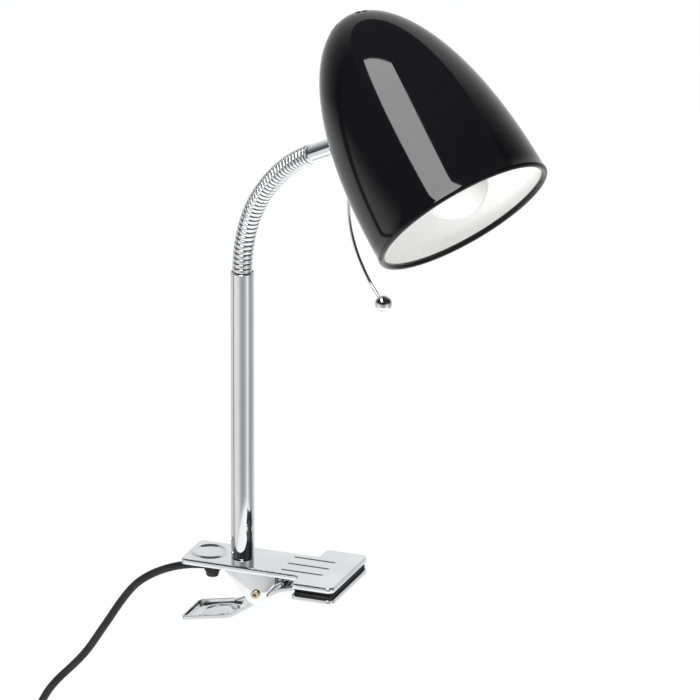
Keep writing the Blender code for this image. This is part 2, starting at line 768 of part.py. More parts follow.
def build_lamp():
    """Screw lamp holder hung from the bracket, with a golf-ball bulb in it."""
    axis = HEAD @ Matrix.Translation((HOLDER_X, 0, 0))
    bore = CAP_RADIUS + GAP
    floor = HOLDER_BOTTOM + 21.5 * MM
    holder = [
        (0.0, HOLDER_TOP + 7.0 * MM), (4.1 * MM, HOLDER_TOP + 7.0 * MM), (4.1 * MM, HOLDER_TOP),
        (10.5 * MM, HOLDER_TOP), (11.5 * MM, HOLDER_TOP - 1.5 * MM), (11.5 * MM, HOLDER_BOTTOM + 15 * MM),
        (HOLDER_RADIUS, HOLDER_BOTTOM + 13.5 * MM), (HOLDER_RADIUS, HOLDER_BOTTOM + 1 * MM),
        (HOLDER_RADIUS - 1 * MM, HOLDER_BOTTOM), (bore, HOLDER_BOTTOM), (bore, floor), (0.0, floor),
    ]
    add("lamp_holder", turned_mesh("lamp_holder", holder, 28), WHITE_PLASTIC, axis)
    nut = hex_nut_mesh("holder_nut", 7.0 * MM, 4.4 * MM, HOLDER_TOP + 2.1 * MM, HOLDER_TOP + 4.9 * MM)
    add("holder_nut", nut, STEEL, axis, smooth=False)
    cap_low, cap_high = HOLDER_BOTTOM - 0.6 * MM, floor - GAP
    cap = [
        (2.2 * MM, cap_high), (3.0 * MM, cap_high - 1.5 * MM), (CAP_RADIUS - 0.8 * MM, cap_high - 3.2 * MM),
        (CAP_RADIUS, cap_high - 4.4 * MM), (CAP_RADIUS, cap_low + 1 * MM), (CAP_RADIUS, cap_low),
    ]
    add("bulb_cap", turned_mesh("bulb_cap", solid_profile(cap), 24), ALUMINIUM, axis)
    top = cap_low - GAP
    glass = [
        (6.8 * MM, top), (8.6 * MM, top - 1.6 * MM), (10.4 * MM, top - 5.5 * MM),
        (12.9 * MM, top - 11.0 * MM),
    ]
    for degrees in range(48, -90, -13):
        angle = math.radians(degrees)
        glass.append((BULB_RADIUS * math.cos(angle), BULB_CENTRE + BULB_RADIUS * math.sin(angle)))
    glass.append((0.0, BULB_CENTRE - BULB_RADIUS))
    add("bulb_glass", turned_mesh("bulb_glass", [(0.0, top), *glass], 28), GLASS, axis)


def build_grip_wire():
    """Curved wire with a ball on its end, held by a nut inside the shade's wall."""
    place = HEAD @ wire_frame()
    inside = [place @ Vector((0, 0, z * MM)) for z in (-6.5, -3.0, 0.0)]
    below = [arm(h * MM, z * MM) for h, z in (
        (106.6, 282.0), (100.2, 272.4), (97.0, 261.4), (96.6, 249.6), (98.8, 238.4), (103.2, 228.0),
        (109.2, 218.8), (116.4, 210.4), (123.6, 204.0),
    )]
    wire_object("grip_wire", smooth_line(inside + below, 3.2 * MM), 1.0 * MM, CHROME, 2)
    ball = bmesh.new()
    bmesh.ops.create_uvsphere(ball, u_segments=18, v_segments=10, radius=5.2 * MM)
    add("grip_ball", finished(ball, "grip_ball"), CHROME, Matrix.Translation(arm(127.8 * MM, 200.9 * MM)))
    nut = hex_nut_mesh("wire_nut", 3.4 * MM, 1.3 * MM, -4.6 * MM, -2.2 * MM)
    add("wire_nut", nut, STEEL, place, smooth=False)


# ---------------------------------------------------------------- mains lead


def build_cord_grip():
    """Black cord grip under the handle, and the thin cores that go on into the post."""
    grip = [
        (GRIP_RADIUS - 0.6 * MM, 3.7 * MM), (GRIP_RADIUS, 3.1 * MM), (GRIP_RADIUS, -5.5 * MM),
        (GRIP_RADIUS - 0.5 * MM, -7.6 * MM), (GRIP_RADIUS - 1.6 * MM, -9.3 * MM),
        (GRIP_RADIUS - 3.0 * MM, -9.9 * MM),
    ]
    centre = CORD_ROUTE[0][0] * MM + GAP + GRIP_RADIUS
    mesh = turned_mesh("cord_grip", solid_profile(grip), 28)
    add("cord_grip", mesh, BLACK_PLASTIC, Matrix.Translation((centre, 0, 0)))
    inner = [Vector((x, 0, z)) * MM for x, z in (
        (-70.2, -2.8), (-67.0, -3.6), (-63.0, -5.4), (-58.6, -6.2), (-56.4, -4.0), (-56.0, 0.0),
        (-56.0, 10.0), (-56.0, 60.0), (-56.0, 120.0), (-56.0, 174.0),
    )]
    wire_object("inner_lead", smooth_line(inner, 3.5 * MM), 1.2 * MM, BLACK_PLASTIC, 2)


def build_cord():
    """The free lead in two stretches, with the rest of its length as one coil."""
    route = [Vector((x, 0, z)) * MM for x, z in CORD_ROUTE]
    wire_object("cord_upper", smooth_line(route, 5 * MM), CORD_RADIUS, BLACK_CORD, 2)
    start = SWITCH_CENTRE - Vector((0, 0, SWITCH_SIZE.z / 2 + GAP))
    bend = 20.0 * MM
    outer = COIL_RADIUS + 2 * CORD_RADIUS
    corner = Vector((COIL_CENTRE.x, 0, COIL_CENTRE.z + outer + bend))
    points = [start, start.lerp(corner + Vector((bend, 0, 0)), 0.5)]
    for k in range(9):
        angle = math.radians(56 * k / 8)
        points.append(corner + Vector((bend * math.cos(angle), 0, -bend * math.sin(angle))))
    wire_object("cord_lower", smooth_line(points, 4 * MM), CORD_RADIUS, BLACK_CORD, 2)
    low, high = COIL_RADIUS - COIL_HALF, COIL_RADIUS + COIL_HALF
    ease = 2.0 * MM
    section = [
        (high - ease, COIL_HALF), (high, COIL_HALF - ease),
        (high, ease - COIL_HALF), (high - ease, -COIL_HALF),
        (low + ease, -COIL_HALF), (low, ease - COIL_HALF),
        (low, COIL_HALF - ease), (low + ease, COIL_HALF),
    ]
    add("cord_coil", turned_mesh("cord_coil", section, 40, closed=True), BLACK_CORD,
        axis_frame(COIL_CENTRE, (0, 1, 0), (1, 0, 0)))


def build_tie():
    """Band around the turns at the top of the coil."""
    half = COIL_HALF + 0.7 * MM
    side = rounded([(y * half, z * half, 2 * MM) for y, z in ((-1, -1), (1, -1), (1, 1), (-1, 1))], 3)
    outer = [(p * ((half + 1.0 * MM) / half)) for p in side]
    width = 4.0 * MM
    bm = bmesh.new()
    rings = []
    for points, x in ((outer, -width), (outer, width), (side, width), (side, -width)):
        rings.append([bm.verts.new((x, p[0], p[1])) for p in points])
    count = len(side)
    for ring, following in zip(rings, rings[1:] + rings[:1]):
        for i in range(count):
            j = (i + 1) % count
            bm.faces.new((ring[i], ring[j], following[j], following[i]))
    lean = Matrix.Rotation(math.radians(24), 4, "Y")
    place = Matrix.Translation(COIL_CENTRE) @ lean.inverted() @ Matrix.Translation((0, 0, COIL_RADIUS))
    add("coil_tie", finished(bm, "coil_tie"), BLACK_PLASTIC, place)


def build_switch():
    """Rocker switch in the lead: two moulded halves and the rocker in its window."""
    half_y = SWITCH_SIZE.y / 2
    for name, side in (("switch_base", 1), ("switch_cover", -1)):
        outline = rounded([
            (-SWITCH_SIZE.x / 2, -SWITCH_SIZE.z / 2, 8 * MM), (SWITCH_SIZE.x / 2, -SWITCH_SIZE.z / 2, 8 * MM),
            (SWITCH_SIZE.x / 2, SWITCH_SIZE.z / 2, 8 * MM), (-SWITCH_SIZE.x / 2, SWITCH_SIZE.z / 2, 8 * MM),
        ], 6)
        low, high = sorted((side * GAP / 2, side * half_y))
        shell = add(name, prism_mesh(name, outline, low, high, in_xz), BLACK_PLASTIC,
                    Matrix.Translation(SWITCH_CENTRE))
        bevel = shell.modifiers.new("edge", "BEVEL")
        bevel.width = 1.2 * MM
        bevel.segments = 2
        bevel.limit_method = "ANGLE"
        bevel.angle_limit = math.radians(60)
        apply_modifiers(shell)
        if side < 0:
            window = box_mesh("window", (11.2 * MM, 9 * MM, 16.0 * MM), (0, -half_y, 0))
            carve(shell, [cutter(window, Matrix.Translation(SWITCH_CENTRE))], "DIFFERENCE")
    face = [(-7.2, -8.1), (-3.6, -8.8), (0.0, -9.1), (3.6, -8.8), (7.2, -8.1), (7.2, -5.6), (-7.2, -5.6)]
    pivot = Matrix.Translation(SWITCH_CENTRE + Vector((0, -6.4 * MM, 0)))
    mesh = prism_mesh(
        "switch_rocker", [(z * MM, y * MM + 6.4 * MM) for z, y in face], -5.1 * MM, 5.1 * MM,
        lambda u, v, depth: (depth, v, u),
    )
    add("switch_rocker", mesh, BLACK_PLASTIC, pivot @ Matrix.Rotation(ROCKER_TILT, 4, "X"))


def build_plug():
    """Flat two-pin plug hanging from the coil's last turn, pins down."""
    down = axis_frame(PLUG_START, (0, 0, -1))
    boot = [(r * MM, z * MM) for r, z in ((5.2, 20.0), (4.2, 14.0), (3.4, 6.0), (3.0, 0.0))]
    plug = add("plug_body", turned_mesh("plug_body", solid_profile(boot), 20), BLACK_PLASTIC, down)
    body = box_mesh("plug_block", Vector((26.0, 13.0, 20.0)) * MM, (0, 0, 28 * MM), 2.5 * MM, 3)
    carve(plug, [cutter(body, down)], "UNION")
    pin = [(r * MM, z * MM) for r, z in ((1.2, 57.0), (2.0, 55.8), (2.0, 38.3))]
    for number, offset in ((1, -PLUG_PIN_SPREAD), (2, PLUG_PIN_SPREAD)):
        mesh = turned_mesh(f"plug_pin_{number}", solid_profile(pin), 16)
        add(f"plug_pin_{number}", mesh, STEEL, down @ Matrix.Translation((offset, 0, 0)))


# ---------------------------------------------------------------- build

clear_scene()
PARTS = new_collection(COLLECTION)
CUTTERS = new_collection("cutters")

CHROME = material("chrome", (0.82, 0.83, 0.85), 0.06, 1.0)
STEEL = material("zinc_steel", (0.62, 0.63, 0.65), 0.3, 1.0)
BRASS = material("brass", (0.72, 0.62, 0.38), 0.22, 1.0)
ALUMINIUM = material("aluminium", (0.75, 0.76, 0.78), 0.35, 1.0)
BLACK_GLOSS = material("black_gloss", (0.008, 0.008, 0.01), 0.06)
BLACK_PLASTIC = material("black_plastic", (0.02, 0.02, 0.022), 0.4)
BLACK_CORD = material("black_cord", (0.018, 0.018, 0.02), 0.45)
RUBBER = material("rubber", (0.02, 0.02, 0.02), 0.7)
WHITE_PLASTIC = material("white_plastic", (0.85, 0.85, 0.83), 0.4)
GLASS = material("opal_glass", (0.93, 0.93, 0.9), 0.25)

HEAD = head_frame()

build_upper_plate()
build_lower_plate()
build_pads()
build_pivot()
build_spring()
build_post()
build_neck()
build_shade()
build_joint()
build_bracket()
build_lamp()
build_grip_wire()
build_cord_grip()
build_cord()
build_tie()
build_switch()
build_plug()
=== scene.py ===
"""Clip-on reading lamp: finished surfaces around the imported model. Metres, +Z up."""

import json
import math

import bmesh
import bpy
from mathutils import Matrix, Vector
from mathutils.geometry import delaunay_2d_cdt


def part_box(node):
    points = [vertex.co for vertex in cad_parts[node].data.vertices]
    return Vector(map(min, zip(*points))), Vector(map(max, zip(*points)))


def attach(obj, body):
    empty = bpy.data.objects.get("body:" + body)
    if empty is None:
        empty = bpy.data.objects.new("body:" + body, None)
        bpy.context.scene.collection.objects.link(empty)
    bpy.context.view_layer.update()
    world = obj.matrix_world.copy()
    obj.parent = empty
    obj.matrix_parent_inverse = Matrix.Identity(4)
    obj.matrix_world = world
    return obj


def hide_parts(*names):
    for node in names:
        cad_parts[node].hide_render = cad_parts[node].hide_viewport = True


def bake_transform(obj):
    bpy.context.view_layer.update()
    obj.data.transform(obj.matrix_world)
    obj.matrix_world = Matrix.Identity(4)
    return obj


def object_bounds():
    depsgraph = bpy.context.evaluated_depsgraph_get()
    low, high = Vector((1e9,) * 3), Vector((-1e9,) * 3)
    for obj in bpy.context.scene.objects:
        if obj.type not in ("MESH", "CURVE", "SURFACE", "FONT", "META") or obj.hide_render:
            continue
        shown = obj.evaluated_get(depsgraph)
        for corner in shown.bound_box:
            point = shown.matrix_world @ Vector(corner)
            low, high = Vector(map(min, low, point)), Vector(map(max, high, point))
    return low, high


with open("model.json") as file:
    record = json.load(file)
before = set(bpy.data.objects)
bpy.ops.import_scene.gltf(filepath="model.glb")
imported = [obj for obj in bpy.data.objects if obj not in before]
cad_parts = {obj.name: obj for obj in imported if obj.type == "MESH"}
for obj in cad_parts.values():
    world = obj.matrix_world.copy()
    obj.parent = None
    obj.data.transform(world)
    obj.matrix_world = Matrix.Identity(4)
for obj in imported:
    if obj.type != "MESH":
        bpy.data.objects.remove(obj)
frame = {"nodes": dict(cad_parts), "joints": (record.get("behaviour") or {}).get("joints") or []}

cad_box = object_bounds()

MM = 0.001
JOINTS = {joint["name"]: joint for joint in frame["joints"]}

# Clamp
SHEET = 1.2 * MM
RIM = 3.4 * MM
ROLL = 1.3 * MM
PLATE_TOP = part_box("upper_pad")[1].z + SHEET + 0.3 * MM
HANDLE_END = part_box("upper_plate")[0].x
HANDLE_HALF = 17.0 * MM
JAW_START = -13.5 * MM
JAW_END = 13.5 * MM
JAW_HALF = 29.7 * MM
LOWER_HALF = 15.4 * MM
PIVOT = Vector(JOINTS["jaw_open"]["pos_m"])
RING_X = -77.0 * MM
RING_RADIUS = 10.2 * MM
LOWER_RING_ALONG = 18.5 * MM
SLOTS_Y = (-10.7 * MM, 0.0, 10.7 * MM)
SLOT_X = (-26.5 * MM, -0.5 * MM)
LOWER_CORNERS = ((-90.0, -36.5), (-57.5, -30.3), (-27.0, -9.5), (-14.5, -6.2), (13.5, -6.2))
LOWER_LINE = [Vector(corner) * MM for corner in LOWER_CORNERS]

# Post and neck
POST_X = JOINTS["neck_swing"]["pos_m"][0]
POST_RADIUS = 7.1 * MM
POST_LENGTH = JOINTS["neck_swing"]["pos_m"][2] - PLATE_TOP
NECK_RADIUS = 6.1 * MM
NECK_ARCS = ((92.0 * MM, math.radians(35)), (130.0 * MM, math.radians(27)))
NECK_HINGES = (24.0 * MM, 58.0 * MM, 92.0 * MM)
NECK_RINGS = 35
ARM_TURN = -math.atan2(JOINTS["neck_bend_1"]["axis"][0], JOINTS["neck_bend_1"]["axis"][1])
FERRULE_LENGTH = 50.0 * MM
FERRULE_RADIUS = 5.9 * MM

# Head
SHADE_RADIUS = 56.6 * MM
SHADE_LENGTH = 143.0 * MM
SHADE_POWER = 2.2
SHADE_WALL = 1.0 * MM
LIP_RADIUS = 1.9 * MM
SHADE_TILT = math.radians(42.9)
SHADE_JOINT_T = 85.2 * MM
SHADE_NORMAL_TILT = math.radians(19.1)
VENT_RADIUS = 3.7 * MM
VENT_CIRCLE = 13.4 * MM
VENTS = 4
HOLDER_X = -6.0 * MM
HOLDER_RADIUS = 13.0 * MM
HOLDER_TOP = 93.3 * MM
HOLDER_BOTTOM = 58.6 * MM
BULB_RADIUS = 22.5 * MM
BULB_CENTRE = 22.0 * MM
CAP_RADIUS = 6.9 * MM

# Lead
CORD_RADIUS = 2.4 * MM
COIL_RADIUS = 28.8 * MM
COIL_CENTRE = sum(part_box("cord_coil"), Vector()) / 2
SWITCH_CENTRE = Vector((-190.5, 0.0, -152.0)) * MM
CORD_ROUTE = (
    (-80.9, -3.8), (-87.4, -4.4), (-94.6, -5.9), (-101.1, -8.0), (-109.1, -11.4), (-117.1, -16.0),
    (-125.2, -22.2), (-132.2, -31.2), (-138.3, -40.6), (-142.6, -47.8), (-146.8, -54.4),
    (-150.9, -61.0), (-155.5, -68.4), (-160.6, -75.2), (-166.1, -81.4), (-171.6, -87.2),
    (-177.0, -93.0), (-181.8, -99.3), (-185.6, -105.8), (-188.4, -112.0), (-190.0, -117.4), (-190.5, -120.7),
)

# Stage: bearings in degrees from the camera, positive to its right, with the card's brightness there
CAMERA_AZIMUTH = math.radians(21.5)
CAMERA_ELEVATION = math.radians(21.5)
CAMERA_TARGET = Vector((-12.7, 65.9, 120.6)) * MM
CAMERA_DISTANCE = 17.53
CAMERA_LENS = 1500.0
SOFTBOX_CENTRE = (-0.03, -0.317, 0.723)
SOFTBOX_TALL = (0.163, -0.364, -0.205)
SOFTBOX_WIDE = (0.222, 0.063, 0.124)
SOFTBOX_POWER = 3.0
GLOW_CENTRE = (0.36, -0.42, -0.12)
GLOW_TALL = (0.15, 0.2, 0.0)
GLOW_WIDE = (0.2, -0.15, 0.1)
GLOW_POWER = 4.2
FLOOR_GAP = 12 * MM
FLOOR_HALF = 6.0
WORLD_STRENGTH = 1.05
TENT_CENTRE = (0.03, -0.02, 0.0)
TENT_RADIUS = 0.62
TENT_FOOT = -0.31
TENT_TOP = 0.9
TENT_FADE = (0.06, 0.36)
TENT_REAR = (math.radians(95), math.radians(150))
TENT_DARK = 0.05
TENT_STOPS = (
    (-180, 0.88), (-140, 0.66), (-112, 0.72), (-105, 0.72), (-102, 0.08), (-97, 0.08), (-94, 0.8),
    (-60, 0.84), (-42, 0.7), (-30, 0.5), (-12, 0.36), (5, 0.38), (30, 0.55), (42, 0.9), (52, 0.92), (68, 0.5),
    (85, 0.34), (105, 0.4), (135, 0.7), (180, 0.88),
)


# ---------------------------------------------------------------- materials


def new_material(name, colour, roughness, metallic=0.0, **sockets):
    made = bpy.data.materials.new(name)
    made.use_nodes = True
    shader = made.node_tree.nodes["Principled BSDF"]
    shader.inputs["Base Color"].default_value = (*colour, 1.0)
    shader.inputs["Roughness"].default_value = roughness
    shader.inputs["Metallic"].default_value = metallic
    for socket, value in sockets.items():
        shader.inputs[socket.replace("_", " ")].default_value = value
    return made


def noise(material, scale, detail=4.0, stretch=(1, 1, 1)):
    """A noise texture in the object's own coordinates; returns its factor output."""
    nodes, links = material.node_tree.nodes, material.node_tree.links
    where = nodes.new("ShaderNodeTexCoord")
    mapping = nodes.new("ShaderNodeMapping")
    mapping.inputs["Scale"].default_value = stretch
    texture = nodes.new("ShaderNodeTexNoise")
    texture.inputs["Scale"].default_value = scale
    texture.inputs["Detail"].default_value = detail
    links.new(where.outputs["Object"], mapping.inputs["Vector"])
    links.new(mapping.outputs["Vector"], texture.inputs["Vector"])
    return texture.outputs["Fac"]


def vary(material, socket, factor, low, high, ends=(0.35, 0.65)):
    """Drives a socket between two values, or two colours, with a texture."""
    nodes, links = material.node_tree.nodes, material.node_tree.links
    ramp = nodes.new("ShaderNodeValToRGB")
    for element, at, value in zip(ramp.color_ramp.elements, ends, (low, high)):
        element.position = at
        element.color = (*value, 1.0) if isinstance(value, tuple) else (value, value, value, 1.0)
    links.new(factor, ramp.inputs["Fac"])
    links.new(ramp.outputs["Color"], nodes["Principled BSDF"].inputs[socket])


def bump(material, factor, height, strength=0.5):
    nodes, links = material.node_tree.nodes, material.node_tree.links
    node = nodes.new("ShaderNodeBump")
    node.inputs["Distance"].default_value = height
    node.inputs["Strength"].default_value = strength
    links.new(factor, node.inputs["Height"])
    links.new(node.outputs["Normal"], nodes["Principled BSDF"].inputs["Normal"])


def chrome_material():
    """Bright nickel-chrome plate: faint polishing haze and very fine orange peel."""
    made = new_material("chrome_plate", (0.84, 0.85, 0.87), 0.05, 1.0)
    vary(made, "Roughness", noise(made, 90.0, 6.0), 0.035, 0.085)
    vary(made, "Base Color", noise(made, 24.0, 3.0), (0.80, 0.81, 0.83), (0.87, 0.88, 0.90))
    bump(made, noise(made, 260.0, 2.0), 0.00002, 0.12)
    return made


def enamel_material(name, colour, roughness, level, peel):
    """Stoved gloss enamel with a slight orange peel under a clear, hard surface."""
    made = new_material(name, colour, roughness, Specular_IOR_Level=level)
    vary(made, "Roughness", noise(made, 60.0, 5.0), roughness * 0.75, roughness * 1.5)
    bump(made, noise(made, 420.0, 2.0), 0.00003, peel)
    return made


def steel_material():
    """Zinc-plated steel with a brushed grain."""
    made = new_material("zinc_steel", (0.62, 0.63, 0.65), 0.32, 1.0)
    grain = noise(made, 300.0, 6.0, (1.0, 1.0, 0.12))
    vary(made, "Roughness", grain, 0.22, 0.45)
    vary(made, "Base Color", noise(made, 45.0), (0.54, 0.55, 0.58), (0.70, 0.71, 0.72))
    bump(made, grain, 0.00003, 0.25)
    return made


def brass_material():
    """Pale brass-plated rivet, its tone and dullness varying a little at random."""
    made = new_material("pale_brass", (0.72, 0.62, 0.38), 0.2, 1.0)
    vary(made, "Base Color", noise(made, 220.0), (0.56, 0.49, 0.33), (0.80, 0.71, 0.47))
    vary(made, "Roughness", noise(made, 300.0), 0.14, 0.32)
    return made


def plastic_material(name, colour, paler, roughness, grain, height):
    """Moulded plastic with a fine spark-eroded grain."""
    made = new_material(name, colour, roughness, Specular_IOR_Level=0.25)
    vary(made, "Base Color", noise(made, 70.0), colour, paler)
    texture = noise(made, grain, 3.0)
    vary(made, "Roughness", texture, roughness * 0.85, roughness * 1.2)
    bump(made, texture, height, 0.35)
    return made


def opal_material():
    """Opal bulb glass: milky body under a smooth, glossy skin."""
    made = new_material(
        "opal_glass", (0.6, 0.6, 0.585), 0.12, Subsurface_Weight=0.35, Subsurface_Scale=0.006,
        Coat_Weight=0.6, Coat_Roughness=0.03,
    )
    vary(made, "Base Color", noise(made, 40.0, 2.0), (0.57, 0.57, 0.555), (0.62, 0.62, 0.605))
    bump(made, noise(made, 500.0, 2.0), 0.00001, 0.1)
    return made


CHROME = chrome_material()
BLACK_ENAMEL = enamel_material("black_enamel", (0.0035, 0.0035, 0.004), 0.05, 0.4, 0.08)
WHITE_ENAMEL = enamel_material("white_enamel", (0.93, 0.93, 0.92), 0.3, 0.4, 0.03)
# Near-black paint at the bottom of each groove between the neck's turns: painted shade in the recesses of the
# chrome.
GROOVE_PAINTED_SHADE = plastic_material("groove_painted_shade", (0.035, 0.035, 0.036), (0.09, 0.09, 0.09), 0.45, 700.0, 3e-5)
STEEL = steel_material()
BRASS = brass_material()
ALUMINIUM = plastic_material("bulb_cap_metal", (0.72, 0.73, 0.75), (0.8, 0.81, 0.82), 0.32, 500.0, 2e-5)
ALUMINIUM.node_tree.nodes["Principled BSDF"].inputs["Metallic"].default_value = 1.0
BLACK_PLASTIC = plastic_material("black_plastic", (0.012, 0.012, 0.013), (0.02, 0.02, 0.021), 0.38, 900, 4e-5)
CORD_SHEATH = plastic_material("pvc_sheath", (0.010, 0.010, 0.011), (0.018, 0.018, 0.019), 0.36, 600.0, 3e-5)
RUBBER = plastic_material("black_rubber", (0.012, 0.012, 0.012), (0.024, 0.024, 0.024), 0.62, 1100.0, 8e-5)
WHITE_PLASTIC = plastic_material("white_plastic", (0.80, 0.80, 0.78), (0.86, 0.86, 0.84), 0.35, 700.0, 3e-5)
OPAL = opal_material()


# ---------------------------------------------------------------- mesh helpers


def finished(bm, name):
    bmesh.ops.recalc_face_normals(bm, faces=bm.faces)
    mesh = bpy.data.meshes.new(name)
    bm.to_mesh(mesh)
    bm.free()
    return mesh


def piece(name, mesh, looks, place=None, sharp=35):
    """A finished piece in the row frame, shaded smooth up to the sharp angle."""
    obj = bpy.data.objects.new(name, mesh)
    bpy.context.scene.collection.objects.link(obj)
    for look in looks if isinstance(looks, (list, tuple)) else [looks]:
        mesh.materials.append(look)
    if place is not None:
        mesh.transform(place)
    mesh.shade_smooth()
    mesh.set_sharp_from_angle(angle=math.radians(sharp))
    return obj


def settle(obj, body, slot, *nodes):
    """The piece rides on a body and stands for its CAD nodes; slot is not used."""
    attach(obj, body)
    if nodes:
        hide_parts(*nodes)
    return obj


def turned(name, profile, steps=96, closed=False, paint=None):
    """A profile of (radius, height) points turned about Z. paint gives each band's material index."""
    bm = bmesh.new()
    rings = []
    for radius, height in profile:
        if radius < 1e-7:
            rings.append([bm.verts.new((0, 0, height))])
            continue
        angles = (2 * math.pi * k / steps for k in range(steps))
        rings.append([bm.verts.new((radius * math.cos(a), radius * math.sin(a), height)) for a in angles])
    pairs = list(zip(rings, rings[1:]))
    if closed:
        pairs.append((rings[-1], rings[0]))
    for band, (upper, lower) in enumerate(pairs):
        for k in range(steps):
            around = ((upper, k), (lower, k), (lower, k + 1), (upper, k + 1))
            corners = list(dict.fromkeys(ring[i % len(ring)] for ring, i in around))
            if len(corners) > 2:
                face = bm.faces.new(corners)
                face.material_index = paint[band] if paint else 0
    return finished(bm, name)


def skin(bm, rings, loop=False):
    """Faces between rings, over as many points as the shortest has; loop joins the last to the first."""
    faces = []
    count = min(len(ring) for ring in rings)
    for a, b in zip(rings, rings[1:] + rings[:1] if loop else rings[1:]):
        for i in range(count):
            j = (i + 1) % count
            faces.append(bm.faces.new((a[i], a[j], b[j], b[i])))
    return faces


def round_corners(middle, half, corner, steps):
    """Outline of a rectangle with round corners, in its own plane."""
    outline = []
    for quarter in range(4):
        x = middle[0] + (half[0] - corner) * (1 if quarter in (0, 3) else -1)
        y = middle[1] + (half[1] - corner) * (1 if quarter in (0, 1) else -1)
        angles = [math.pi / 2 * (quarter + k / steps) for k in range(steps + 1)]
        outline += [(x + corner * math.cos(a), y + corner * math.sin(a)) for a in angles]
    return outline


def solid_profile(points):
    return [(0.0, points[0][1]), *points, (0.0, points[-1][1])]


def fillet(corners, segments=5):
    """A profile from (r, z, radius) corners, each rounded by an arc of that radius."""
    points = []
    for i, (x, y, radius) in enumerate(corners):
        here = Vector((x, y))
        if radius <= 0 or i in (0, len(corners) - 1):
            points.append((x, y))
            continue
        before = Vector(corners[i - 1][:2]) - here
        after = Vector(corners[i + 1][:2]) - here
        half = before.angle(after) / 2
        reach = radius / math.tan(half)
        middle = here + (before.normalized() + after.normalized()).normalized() * (radius / math.sin(half))
        start = here + before.normalized() * reach - middle
        turn = start.angle_signed(here + after.normalized() * reach - middle)
        for k in range(segments + 1):
            spot = middle + Matrix.Rotation(-turn * k / segments, 2) @ start
            points.append((spot.x, spot.y))
    return points


def axis_frame(origin, direction, side=(0, 1, 0)):
    z = Vector(direction).normalized()
    y = (Vector(side) - z * Vector(side).dot(z)).normalized()
    x = y.cross(z)
    return Matrix.Translation(origin) @ Matrix((x, y, z)).transposed().to_4x4()


def smooth_line(knots, spacing):
    """Points about evenly spaced on the smooth curve through the knots."""
    dense = []
    for i in range(len(knots) - 1):
        p1, p2 = knots[i], knots[i + 1]
        p0 = knots[i - 1] if i else p1 * 2 - p2
        p3 = knots[i + 2] if i + 2 < len(knots) else p2 * 2 - p1
        for k in range(12):
            t = k / 12
            dense.append(
                0.5 * (2 * p1 + (p2 - p0) * t + (2 * p0 - 5 * p1 + 4 * p2 - p3) * t * t
                       + (3 * p1 - p0 - 3 * p2 + p3) * t ** 3)
            )
    dense.append(knots[-1])
    total = sum((b - a).length for a, b in zip(dense, dense[1:]))
    count = max(2, round(total / spacing))
    line = [dense[0]]
    walked = 0.0
    for a, b in zip(dense, dense[1:]):
        step = (b - a).length
        while len(line) < count and walked + step >= total * len(line) / count:
            line.append(a.lerp(b, (total * len(line) / count - walked) / step))
        walked += step
    return line[:count] + [dense[-1]]


def wire(name, points, radius, look, resolution=6, kind="POLY"):
    """A round wire along a line of points, as a curve with filled ends."""
    curve = bpy.data.curves.new(name, "CURVE")
    curve.dimensions = "3D"
    curve.bevel_depth = radius
    curve.bevel_resolution = resolution
    curve.use_fill_caps = True
    curve.resolution_u = 5
    spline = curve.splines.new(kind)
    spline.points.add(len(points) - 1)
    for knot, point in zip(spline.points, points):
        knot.co = (*point, 1.0)
    if kind == "NURBS":
        spline.order_u = 4
        spline.use_endpoint_u = True
    spline.use_smooth = True
    curve.materials.append(look)
    obj = bpy.data.objects.new(name, curve)
    bpy.context.scene.collection.objects.link(obj)
    return obj


def modified(obj, kind, **values):
    step = obj.modifiers.new(kind.lower(), kind)
    for key, value in values.items():
        setattr(step, key, value)
    return step


def carve(obj, meshes, operation="DIFFERENCE"):
    """Cuts the given meshes, in the row frame, out of the piece, or joins them to it."""
    tools = []
    for mesh in meshes:
        tool = bpy.data.objects.new(mesh.name, mesh)
        bpy.context.scene.collection.objects.link(tool)
        tools.append(tool)
        modified(obj, "BOOLEAN", operation=operation, object=tool, solver="EXACT")
    bake(obj)
    for tool in tools:
        bpy.data.objects.remove(tool)


def bake(obj, sharp=35):
    bpy.context.view_layer.update()
    mesh = bpy.data.meshes.new_from_object(obj.evaluated_get(bpy.context.evaluated_depsgraph_get()))
    obj.modifiers.clear()
    obj.data = mesh
    mesh.shade_smooth()
    mesh.set_sharp_from_angle(angle=math.radians(sharp))


def moved(mesh, place):
    mesh.transform(place)
    return mesh


def keep(node, look, bevel=0.15 * MM, subdivide=0):
    """A carried-over CAD node: welded and smoothed by modifiers, with its own finish."""
    obj = frame["nodes"][node]
    obj.data.materials.clear()
    obj.data.materials.append(look)
    obj.data.shade_smooth()
    modified(obj, "WELD", merge_threshold=0.00001)
    if bevel:
        modified(obj, "BEVEL", width=bevel, segments=2, limit_method="ANGLE", angle_limit=math.radians(40),
                 harden_normals=True)
    if subdivide:
        modified(obj, "SUBSURF", levels=subdivide, render_levels=subdivide)


# ---------------------------------------------------------------- clamp


